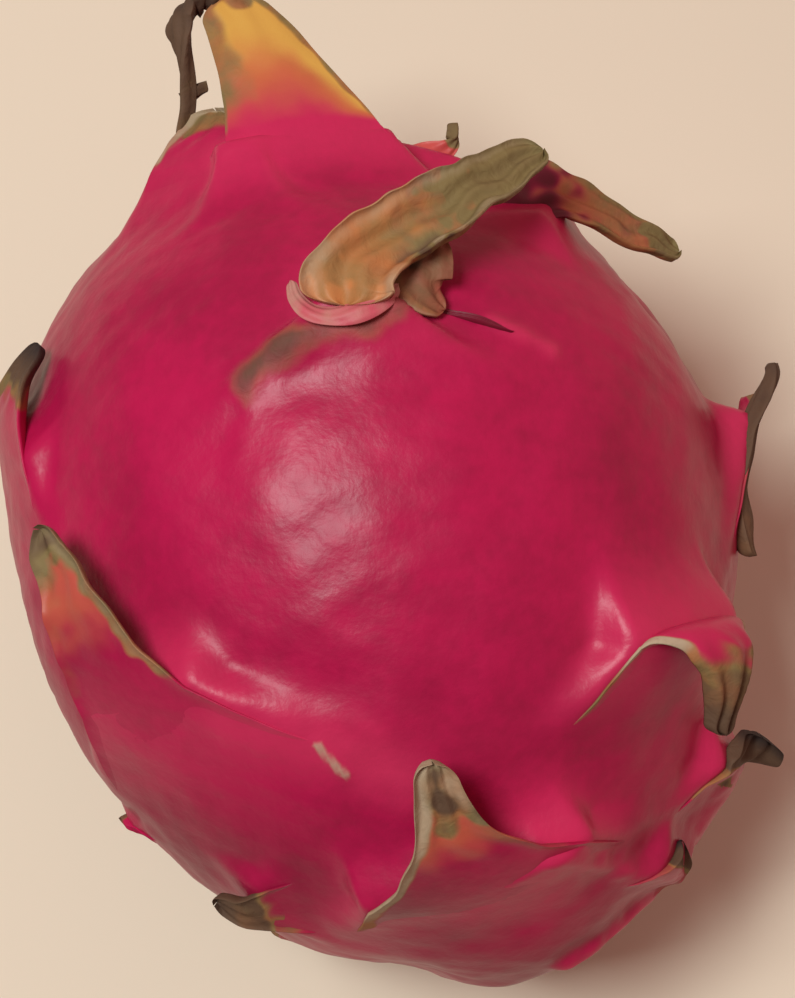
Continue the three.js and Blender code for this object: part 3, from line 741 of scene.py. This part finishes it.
def section(width, thick, bend, relief):
    """A leaf's section for each row: distance to the side, distance outwards, and share across.

    A ring's angle gives the share across, as a cosine, and the face, as a steep power of its sine.
    The outer face is an arc of the row's curvature, lifted by the relief. The inner face lies
    below it by the thickness, which is most in the middle.
    """
    angle = np.linspace(0, 2 * np.pi, BLADE_COLUMNS, endpoint=False)[None, :]
    across = np.cos(angle) + 0 * width[:, None]
    face = np.sign(np.sin(angle)) * np.abs(np.sin(angle)) ** 0.25
    half = (LEAF + thick[:, None] * (1 - np.abs(across) ** 2.6)) / 2
    depth = half * (face - 1) + relief(across)
    w, k = across * width[:, None], bend[:, None]
    aside = np.sin(k * w) / k - depth * np.sin(k * w)
    outwards = (1 - np.cos(k * w)) / k + depth * np.cos(k * w)
    return aside, outwards, across


def leaf_piece(name, node, points, values, material):
    """Puts a leaf's rings into a closed mesh that rides on the fruit and stands for its node."""
    obj = tube_mesh(name, points, values)
    obj.data.materials.append(material)
    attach(obj, "root")
    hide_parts(node)


def neck_bend(scale, width, place, out):
    """Curvature across the neck that makes the free blade lie on the skin at its margins."""
    neck = np.full(2, float(scale["fused"]))
    margins = skin_over(over_root(scale, neck, np.array((-width, width))))
    return 2 * ((margins - place) @ out).mean() / width**2


def blade(scale, look, seed):
    """A scale's blade as rings of points, and for each point what its colours depend on.

    The section is carried along the centreline. It is a quarter as thick at the root as at the neck,
    and thins again to the tip. Its curvature goes from the skin's to the look's. The relief lifts its
    outer face from under the skin at the root by the bead, the roll, the waves and the long folds.
    Up to the neck the blade lies on the skin, and beyond it, it is free.
    """
    s, places, sides, outs = centreline(scale, look)
    fused = np.clip(s / scale["fused"], 0, 1)
    free = np.clip((s - scale["fused"]) / scale["free"], 0, 1)
    tip = np.sqrt(np.clip(1 - np.clip((free - (1 - TIP)) / TIP, 0, 1) ** 2, 0, 1))
    uneven = ripples(places, 5, seed) * look["ragged"] * smoothstep(free, 0, 0.3)
    width = half_width(scale, s) * (0.06 + 0.94 * tip) * (1 + uneven)
    thick = scale["thick"] * (0.25 + 0.75 * fused) * (1 - 0.85 * free) * (0.2 + 0.8 * tip)
    at_neck = np.flatnonzero(free <= 0)[-1]
    first_bend = neck_bend(scale, scale["widths"][1], places[at_neck], outs[at_neck])
    bend = first_bend + (look["bend"] - first_bend) * smoothstep(free, 0, 0.8)
    bend = np.where(np.abs(bend) < STRAIGHT, STRAIGHT, bend)

    def relief(across):
        edge = np.abs(across)
        hollow = -SUNK + (SUNK + look["proud"]) * fused[:, None]
        bead = look["bead"] * edge**10 * smoothstep(fused, 0.05, 0.6)[:, None]
        roll = look["roll"] * edge**4 * smoothstep(free, 0, 0.5)[:, None]
        wave = ripples(places[:, None] + 2.5 * across[..., None] * sides[:, None], 7, seed + 1)
        wavy = (0.1 + 0.3 * edge**2) * wave * smoothstep(free, 0.1, 0.7)[:, None]
        folds = look["fold"] * np.sin(9 * across + 1.5 * wave) * smoothstep(free, 0.1, 0.5)[:, None]
        return hollow + bead + roll + wavy + folds

    aside, outwards, across = section(width, thick, bend, relief)
    w = across * width[:, None]
    smooth = over_root(scale, np.minimum(s, scale["fused"])[:, None] + 0 * w, w)
    lift, near, _ = peel_lift(smooth)
    below = outwards - (1 - np.cos(bend[:, None] * w)) / bend[:, None]
    lying = smooth + peel_normal(smooth) * (lift + below)[..., None]
    flying = places[:, None] + sides[:, None] * aside[..., None] + outs[:, None] * outwards[..., None]
    blend = smoothstep(s, 0.75 * scale["fused"], scale["fused"])[:, None, None]
    points = lying * (1 - blend) + flying * blend
    points[..., 2] = np.maximum(points[..., 2], 0)
    return points, near, free[:, None] + 0 * across, fused[:, None] + 0 * across, across, width[:, None]


def blade_values(look, seed, points, near, free, fused, across, width):
    """How pink, warm, dry and pale a blade is at each point.

    A margin is a strip along the edge, uneven by a rough noise. Near is the skin's pink below.
    """
    rough = 0.07 * ripples(points, 3.5, seed + 2)
    margin = look["margin"][0] + (look["margin"][1] - look["margin"][0]) * free
    from_edge = (1 - np.abs(across)) * width / margin + 3 * rough
    leg, rim = (np.where(across < 0, *look[label]) for label in ("legs", "rims"))
    leg = leg * smoothstep(fused, 0.1, 0.7)
    rim = np.maximum(rim, 0.8 * smoothstep(free, 0.55, 0.8))
    strength = np.where(free > 0, np.maximum(leg, rim * smoothstep(free, 0, 0.15)), leg)
    rim = (1 - smoothstep(from_edge, 0.5, 1.4)) * strength
    face = smoothstep(free + rough, *look["dry"])
    dry = np.maximum(0.75 * rim, face * (look["full"] + look["dark"] * smoothstep(free, 0.5, 1)))
    tan = look["tan"] * smoothstep(-across + 2 * rough, 0, 0.95) * smoothstep(free, 0, 0.5)
    front = free + look["slant"] * np.maximum(across, 0) ** 3 + 0.4 * rough
    warm = look["heat"] * smoothstep(front, *look["warm"]) * smoothstep(free, 0, 0.14)
    beyond = smoothstep(free, 0, 0.5)
    maroon = look["deep"] * smoothstep(fused, 0.2, 0.9) * (1 - smoothstep(free, 0.3, 0.7))
    pale = look["pale"] * rim * smoothstep(fused, 0.6, 1.0) * (1 - smoothstep(free, *look["fade"]))
    pink = near * (1 - beyond) + 0.25 * beyond - maroon
    return dict(pink=pink, warm=warm, dry=np.maximum(dry, tan), pale=pale)


def build_scale(name, look, material):
    """One scale as a closed blade that comes out of its shingle, with its colour values."""
    look = {**MOST_SCALES, **look}
    seed = sum(map(ord, name))
    points, *given = blade(SCALES[name], look, seed)
    values = blade_values(look, seed, points, *given)
    leaf_piece("leaf_" + name, name, lean(points), values, material)


DRIED = {
    "top_strap_scale", "crown_right_scale", "crown_back_scale", "stem_left_scale", "stem_right_scale"
}
fleshy_skin = skin_material("fleshy_scale_skin", SKIN_MOTTLE)
for name in SCALES:
    if name not in DRIED:
        build_scale(name, OWN_LOOKS.get(name, {}), fleshy_skin)

# ---------------------------------------------------------------- dried scales
# These scales grow out of the peel like the others, but have dried almost to their roots. They are
# thin, folded and matt.

DRIED_LOOKS = dict(
    stem_left_scale=dict(
        dry=(-0.1, 0.2), heat=0, margin=(1.5, 2), legs=(0.3, 0.3), dark=0.3, full=1.05, pale=0,
    ),
    stem_right_scale=dict(
        dry=(-0.1, 0.15), heat=0, margin=(0.5, 1.5), legs=(0, 0), dark=0.4, full=1.2, pale=0,
        bend=1 / 8, fold=0.4, ragged=0.14,
    ),
)
dried_skin = skin_material("dried_scale_skin", SKIN_MOTTLE)
for name, look in DRIED_LOOKS.items():
    build_scale(name, look, dried_skin)

# ---------------------------------------------------------------- strap over the crown
# The top scale has withered into a long strap that bends over the crown. It is a channel with
# rolled, bleached margins, and has a thick, pale pink lip where it broke away from the skin.

# One row for each place that the strap passes: x, y, z, half width, thickness in the middle,
# curvature of the section in 1/mm, and the tilt of the section in degrees.
STRAP = (
    (-0.4, 17.7, 91.6, 4.4, 1.8, 0.06, 2),
    (0.3, 20.0, 91.7, 5.3, 1.6, 0.09, 0),
    (2.1, 22.3, 91.2, 5.1, 1.3, 0.13, -6),
    (4.9, 24.4, 90.4, 4.8, 1.0, 0.17, -10),
    (7.7, 25.7, 90.2, 4.7, 0.9, 0.18, -10),
    (11.3, 27.4, 90.0, 4.6, 0.9, 0.16, -8),
    (14.9, 29.2, 89.3, 4.1, 0.8, 0.14, -4),
    (18.7, 31.4, 87.9, 3.3, 0.8, 0.10, 0),
    (21.6, 33.1, 86.8, 2.8, 0.8, 0.08, 0),
    (24.2, 34.1, 86.0, 2.3, 0.7, 0.04, 0),
)
STRAP_LIP = (
    (-5.9, 22.0, 90.0, 0.6, 1.2, -0.3, 0),
    (-5.6, 19.9, 90.8, 1.0, 1.6, -0.3, 0),
    (-4.2, 17.9, 91.5, 1.3, 2.2, -0.3, 0),
    (-1.5, 16.9, 91.9, 1.4, 2.4, -0.3, 0),
    (1.3, 16.9, 91.9, 1.4, 2.3, -0.3, 0),
    (3.9, 17.9, 91.5, 1.1, 1.8, -0.3, 0),
    (5.6, 19.5, 90.7, 0.6, 1.1, -0.3, 0),
)
STRAP_FLAP = (
    (9.6, 25.6, 89.2, 1.8, 0.8, -0.03, 8),
    (9.5, 24.0, 89.3, 2.8, 0.8, -0.03, 8),
    (8.6, 21.8, 89.2, 3.6, 0.8, -0.03, 6),
    (8.2, 19.8, 88.9, 3.4, 0.8, -0.03, 4),
    (8.8, 18.2, 88.2, 2.4, 0.7, -0.03, 2),
    (10.2, 17.0, 87.2, 1.0, 0.5, -0.03, 0),
)


def through(rows, count):
    """Values on a smooth curve through rows: a cubic between two rows, sloped by their neighbours."""
    rows = np.asarray(rows, float)
    slopes = np.gradient(rows, axis=0)
    place = np.linspace(0, len(rows) - 1, count)
    i = np.minimum(place.astype(int), len(rows) - 2)
    t = (place - i)[:, None]
    rise = rows[i + 1] - rows[i]
    square = t**2 * (3 * rise - 2 * slopes[i] - slopes[i + 1])
    return rows[i] + t * slopes[i] + square + t**3 * (slopes[i] + slopes[i + 1] - 2 * rise)


def ribbon(rows, seed, fold, roll=0.0, start=0.04, end=0.05):
    """A leaf-like ribbon carried along a path, its share along it and its share across.

    The rows are as in STRAP. The ribbon faces away from the fruit's axis, turned by the tilt. Its
    ends are round over the shares start and end, and its long folds have the height fold.
    """
    table = through(rows, BLADE_ROWS)
    places, width, thick, bend, tilt = table[:, :3], *table[:, 3:].T
    forwards = unit(np.gradient(places, axis=0))
    outs = peel_normal(onto_peel(places))
    outs = unit(outs - forwards * (outs * forwards).sum(-1, keepdims=True))
    sides = np.cross(forwards, outs)
    cos, sin = np.cos(np.radians(tilt))[:, None], np.sin(np.radians(tilt))[:, None]
    sides, outs = sides * cos + outs * sin, outs * cos - sides * sin
    share = np.linspace(0, 1, BLADE_ROWS)
    ends = np.clip(1 - share / start, 0, 1), np.clip(1 - (1 - share) / end, 0, 1)
    taper = np.sqrt(1 - np.maximum(*ends) ** 2 * 0.995)
    uneven = 1 + 0.04 * ripples(places, 4, seed)
    bend = np.where(np.abs(bend) < STRAIGHT, STRAIGHT, bend)

    def relief(across):
        wave = ripples(places[:, None] + 2.0 * across[..., None] * sides[:, None], 6, seed + 1)
        folds = fold * np.sin(8 * across + 1.2 * wave) * (1 - across**4)
        return folds + roll * np.abs(across) ** 4 + 0.25 * wave

    aside, outwards, across = section(width * taper * uneven, thick * taper, bend, relief)
    points = places[:, None] + sides[:, None] * aside[..., None] + outs[:, None] * outwards[..., None]
    return points, share[:, None] + 0 * across, across


def dried_ribbon(name, node, rows, seed, fold, colours, material=dried_skin, slot="dried_scale", **shape):
    """A ribbon as a piece, coloured by a function of its share along and its share across."""
    points, along, across = ribbon(rows, seed, fold, **shape)
    rough = 0.08 * ripples(points, 3, seed + 2)
    leaf_piece(name, node, points, colours(along + rough, across), material)


def values_of(like, **values):
    """The four colour values in the shape of an array, 0 where not given."""
    return {label: values.get(label, 0) + 0 * like for label in ("pink", "warm", "dry", "pale")}


def strap_colours(along, across):
    """Bleached at the base, then rust, then olive, with bleached margins and painted shade in the channel
    by the right margin.
    """
    edge = smoothstep(np.abs(across), 0.36, 0.85)
    base = 1 - smoothstep(along, 0, 0.08)
    # Painted shade: darker and less bleached in the channel beside the right margin.
    painted_pit_shade = smoothstep(across, 0.1, 0.7) * np.exp(-(((along - 0.4) / 0.09) ** 2))
    dry = 0.47 + 0.30 * smoothstep(along, 0.35, 0.75) + 0.3 * painted_pit_shade
    bleached = 0.6 * edge * (1 - 0.6 * along) * (1 - painted_pit_shade) - 0.3 * painted_pit_shade
    warm = 0.7 - 1.3 * smoothstep(along, 0.45, 0.7)
    dry = dry * (1 - 0.3 * base)
    return values_of(along, pink=base, warm=warm, dry=dry, pale=bleached + 0.3 * base)


def lip_colours(along, across):
    """Bleached pink."""
    return values_of(along, pink=1, pale=0.8 + 0.12 * np.cos(6 * along))


def flap_colours(along, across):
    """Reddish brown, with painted shade to nearly black beside the strap, and bleached at the outer
    margin.
    """
    edge = smoothstep(across, 0.55, 0.95)
    # Painted shade: the flap darkens to nearly black where it lies beside the strap.
    painted_pit_shade = 1 - smoothstep(along - 0.2 * across, 0.1, 0.4)
    dry = 0.5 + 0.5 * painted_pit_shade
    return values_of(along, warm=0.2, dry=dry, pale=0.7 * edge - 0.35 - 0.3 * painted_pit_shade)


dried_ribbon(
    "leaf_top_strap_scale", "top_strap_scale", STRAP, 11, 0.4, strap_colours, roll=0.6, start=0.06
)
dried_ribbon("strap_lip", "top_strap_scale", STRAP_LIP, 12, 0.05, lip_colours)
dried_ribbon("strap_flap", "top_strap_scale", STRAP_FLAP, 13, 0.15, flap_colours)

# Below the strap, the scale's right margin has withered into a thin, dark line on the skin.
STRAP_LINE = (
    (18.9, 9, 0.5, 0.4), (17.2, 14.3, 0.5, 0.4), (14.9, 20.3, 0.4, 0.3), (13.9, 23, 0.2, 0.2),
)
LINE_PROUD, LINE_BEND = 0.12, -0.02


def skin_track(track):
    """Ribbon rows along a track on the skin, given as along, around, half width and thickness."""
    along, around, width, thick = np.transpose(track)
    places = lean(skin_over(peel_point(along, around)))
    places = places + peel_normal(onto_peel(places)) * LINE_PROUD
    return np.column_stack((places, width, thick, LINE_BEND + 0 * width, 0 * width))


def line_colours(along, across):
    """Reddish brown, fading at the end."""
    return values_of(along, pink=-0.8, dry=0.3 - 0.2 * along, pale=-0.8)


dried_ribbon("strap_right_margin", "top_strap_scale", skin_track(STRAP_LINE), 22, 0.1, line_colours)

# ---------------------------------------------------------------- blades at the crown's right
# Two crown scales have withered: one to a small triangle with a hooked tip, and one to a blade that
# hangs out over the right shoulder.

BACK_BLADE = (
    (7.8, 41.4, 65.6, 3.0, 2.4, -0.1, -60),
    (10.4, 42.3, 66.2, 2.9, 1.8, -0.1, -60),
    (12.9, 43.1, 66.4, 2.2, 1.3, -0.1, -60),
    (15.2, 43.8, 66.3, 1.3, 1.0, -0.1, -60),
    (16.5, 44.6, 66.3, 0.8, 0.8, -0.1, -60),
    (16.9, 45.8, 66.4, 0.6, 0.7, -0.1, -60),
    (17.0, 47.0, 66.5, 0.4, 0.5, -0.1, -60),
)
RIGHT_BLADE = (
    (18.0, 35.2, 73.5, 4.2, 2.4, -0.08, -35),
    (21.8, 35.4, 73.6, 4.2, 2.2, -0.06, -35),
    (25.6, 34.6, 72.4, 3.9, 1.8, -0.04, -35),
    (30.0, 33.0, 70.2, 3.1, 1.3, 0.02, -30),
    (35.1, 30.5, 66.4, 2.3, 0.9, 0.08, -25),
    (39.0, 29.0, 63.4, 1.8, 0.7, 0.10, -20),
    (41.4, 28.2, 62.0, 1.6, 0.6, 0.06, -20),
)


def back_colours(along, across):
    """Pink with a warm tint, and dried to olive brown at the hooked tip."""
    dry = 0.9 * smoothstep(along, 0.55, 0.75)
    return values_of(along, pink=1 - along, warm=0.35, dry=dry)


def right_colours(along, across):
    """Maroon at the root, partly its own dark red and partly painted shadow of the strap, then orange
    brown with bleached margins, and olive at the tip.
    """
    # Painted shadow: the root is darkened to maroon where the strap's tip shades it.
    root = 1 - smoothstep(along, 0.25, 0.55)
    edge = smoothstep(np.abs(across), 0.6, 1)
    dry = (0.5 + 0.2 * edge) * (1 - 0.75 * root) + 0.3 * smoothstep(along, 0.7, 0.9)
    pale = (0.25 * edge * along) * (1 - root) - root
    warm = 0.4 * (1 - root) - 0.9 * smoothstep(along, 0.65, 0.85)
    return values_of(along, pink=-root, warm=warm, dry=dry, pale=pale)


dried_ribbon("leaf_crown_back_scale", "crown_back_scale", BACK_BLADE, 16, 0.1, back_colours)
dried_ribbon(
    "leaf_crown_right_scale", "crown_right_scale", RIGHT_BLADE, 17, 0.25, right_colours, roll=0.4
)

# ---------------------------------------------------------------- dried rim of the right ear
# The margin of the scale that stands out on the right has dried to a dark, thick rim, which has come
# half loose from the scale.

EAR_RIM = (
    (52.2, 14.8, 53.6, 0.7, 0.9, -0.1, 0),
    (51.7, 12.9, 53.8, 1.0, 1.2, -0.1, 0),
    (49.3, 8.5, 54.0, 1.2, 1.4, -0.1, 0),
    (47.0, 5.0, 54.2, 1.2, 1.5, -0.1, 0),
    (45.7, 1.2, 54.2, 1.2, 1.6, -0.1, 0),
    (45.0, -2.4, 54.2, 1.3, 1.7, -0.1, 0),
    (44.8, -6.0, 53.8, 1.5, 1.7, -0.1, 0),
    (44.9, -8.6, 53.2, 1.0, 1.0, -0.1, 0),
)


def ear_colours(along, across):
    """Nearly black at the upper end, and brown further down."""
    return values_of(along, dry=1.35 - 0.3 * smoothstep(along, 0, 0.9))


dried_ribbon("leaf_right_ear_rim", "right_ear_scale", EAR_RIM, 18, 0.1, ear_colours)

# ---------------------------------------------------------------- strand at the horn
# A dried strip of the horn's left margin has torn loose. It hooks over to the left and hangs down
# beside the horn.

STRAND = (
    (-8.6, 66.0, 69.6, 1.6, 1.4, -0.05, 0),
    (-10.6, 67.2, 70.2, 2.2, 1.8, -0.1, 0),
    (-13.2, 66.6, 70.3, 2.7, 1.9, -0.15, 0),
    (-14.4, 64.2, 70.1, 2.6, 1.7, -0.15, 0),
    (-14.6, 61.5, 69.6, 2.0, 1.3, -0.15, 0),
    (-14.8, 58.7, 68.6, 1.2, 1.1, -0.15, 0),
    (-15.4, 55.7, 67.0, 1.2, 1.1, -0.15, 0),
    (-15.8, 53.0, 65.4, 1.7, 1.1, -0.1, 0),
    (-16.8, 50.2, 63.2, 1.0, 0.8, -0.1, 0),
)
STRAND_PRONG = (
    (-15.6, 55.9, 66.8, 0.8, 0.8, -0.1, 0),
    (-13.6, 56.6, 66.9, 0.6, 0.7, -0.1, 0),
    (-12.0, 56.9, 66.6, 0.3, 0.4, -0.1, 0),
)


def strand_colours(along, across):
    """Nearly black at the hook, and greyish brown further down."""
    return values_of(along, dry=1.45 - 0.45 * along)


for name, rows in (("horn_strand", STRAND), ("horn_strand_prong", STRAND_PRONG)):
    dried_ribbon(name, "crown_horn", rows, 31, 0.15, strand_colours)

# ---------------------------------------------------------------- cut stem
# The stub of the stalk that the fruit was cut from, in a shallow dimple of the peel: green,
# three-ribbed and woody, with a pale cut.

STEM_ALONG = -47.5
STEM_SEAT = peel_point(STEM_ALONG, 180)
STEM_RINGS, STEM_SIDES, STEM_RIBS = 60, 96, 0.06
# The stalk's profile: distance out from its seat on the peel, and radius.
STEM_PROFILE = (
    (-3.5, 6.4), (-1.6, 5.6), (-0.4, 4.8), (1.0, 4.35), (2.5, 4.25), (3.2, 4.1), (3.45, 3.7),
    (3.4, 3.0), (3.2, 1.9), (3.15, 0.9), (3.3, 0.3),
)
STEM_CUT = (0.55, 0.62)  # shares of the profile over which the bark ends and the cut begins
BARK_GREEN, BARK_TAN = (0.11, 0.12, 0.03), (0.26, 0.20, 0.08)
PITH, CUT_WOOD = (0.17, 0.10, 0.05), (0.42, 0.33, 0.18)
STALK_ROUGHNESS, STALK_GRAIN = 0.7, 0.3
FIBRE_STRETCH = (1, 0.15, 1)


def turned_piece(profile, base, axis, rings, sides, ribs, seed):
    """A profile turned about an axis, its radius waved by ribs round it and roughened a little.

    Returns the points, and the radius of the smooth profile at each.
    """
    out, radius = through(profile, rings).T[..., None]
    angle = np.linspace(0, 2 * np.pi, sides, endpoint=False)[None, :]
    waved = radius * (1 + ribs * np.cos(3 * angle) + 0.3 * ribs * np.cos(8 * angle + 1))
    across = np.array((1.0, 0, 0))
    around = across * np.sin(angle)[..., None] + np.cross(axis, across) * np.cos(angle)[..., None]
    points = out[..., None] * axis + waved[..., None] * around
    rough = ripples(points, 1.6, seed) * 0.015
    return points * (1 + rough[..., None]) + base, radius + 0 * angle


stem_points, stem_radius = turned_piece(
    STEM_PROFILE, STEM_SEAT, peel_normal(STEM_SEAT), STEM_RINGS, STEM_SIDES, STEM_RIBS, 41
)
stem_cut = smoothstep(np.arange(STEM_RINGS) / STEM_RINGS, *STEM_CUT)[:, None] + 0 * stem_radius
stem = tube_mesh("fruit_cut_stem", lean(stem_points), dict(cut=stem_cut, radius=stem_radius))


def stem_material():
    """Green bark with long fibres, and a cut face with a pale rim and a brown, drying middle."""
    material, tree, shader = new_material("cut_stalk", Roughness=STALK_ROUGHNESS)
    along = add_node(tree, "ShaderNodeMapping", Vector=place_on(tree), Scale=FIBRE_STRETCH)
    fibres = noise(tree, 900.0, along.outputs["Vector"], Detail=4.0)
    grain = noise(tree, 700.0, Detail=5.0)
    bark = mix_colour(tree, fibres, BARK_GREEN, BARK_TAN)
    ring = maths(tree, "MULTIPLY_ADD", grain, 1.6, attribute(tree, "radius"))
    wood = mix_colour(tree, spread(tree, ring, 1.8, 3.6), PITH, CUT_WOOD)
    colour = mix_colour(tree, attribute(tree, "cut"), bark, wood)
    tree.links.new(colour, shader.inputs["Base Color"])
    both = maths(tree, "ADD", fibres, grain)
    bump = add_node(tree, "ShaderNodeBump", Height=both, Distance=STALK_GRAIN * MM)
    tree.links.new(bump.outputs["Normal"], shader.inputs["Normal"])
    return material


stem.data.materials.append(stem_material())
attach(stem, "root")
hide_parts("cut_stem")

# ---------------------------------------------------------------- flower base
# What is left of the flower in the crown's dimple: a withered, ragged ring with dried threads in it.

CROWN_BASE = np.array((-4.4, 46.5, 41.5))
# The ring's profile: distance along the fruit's axis from the base, and radius.
FLOWER_PROFILE = (
    (-1.0, 7.2), (1.5, 6.9), (3.8, 6.5), (5.6, 6.2), (6.4, 5.5), (6.2, 4.7), (4.8, 4.1), (3.2, 3.6),
    (2.4, 2.2), (2.2, 0.8), (2.3, 0.2),
)
FLOWER_RINGS, FLOWER_SIDES, FLOWER_RIBS = 60, 120, 0.05
RAGGED, FLOWER_MOTTLE, THREADS = 0.45, 90.0, 9

flower_points, _ = turned_piece(
    FLOWER_PROFILE, CROWN_BASE, AHEAD, FLOWER_RINGS, FLOWER_SIDES, FLOWER_RIBS, 51
)
above_seat = smoothstep(np.arange(FLOWER_RINGS) / FLOWER_RINGS, 0.15, 0.4)[:, None]
ragged = ripples(flower_points * np.array((1, 0.2, 1)), 2.2, 52) * above_seat
flower_points[..., 1] += RAGGED * ragged
flower_values = values_of(ragged, dry=1.0 + 0.25 * ragged, pale=0.2 + 0.15 * ragged)
flower = tube_mesh("fruit_flower_base", flower_points, flower_values)
withered = skin_material("withered_flower", FLOWER_MOTTLE)
flower.data.materials.append(withered)
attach(flower, "root")
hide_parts("flower_base")

# Each thread leans out from the middle as it rises, and they vary in reach and in length.
for i, angle in enumerate(np.linspace(0, 2 * np.pi, THREADS, endpoint=False)):
    reach = 1.3 + 0.9 * np.sin(2.3 * i)
    aside, up = reach * np.sin(angle), reach * np.cos(angle)
    x, y, z = CROWN_BASE
    rows = (
        (x + aside, y + 1.6, z + up, 0.45, 0.4, -0.3, 0),
        (x + 1.3 * aside, y + 4.2, z + 1.3 * up, 0.4, 0.4, -0.3, 0),
        (x + 1.9 * aside, y + 5.8 + 0.5 * np.sin(i), z + 1.8 * up, 0.25, 0.2, -0.3, 0),
    )
    dried_ribbon(
        f"flower_thread_{i}", "flower_base", rows, 60 + i, 0.02, strand_colours, withered, "flower_base"
    )
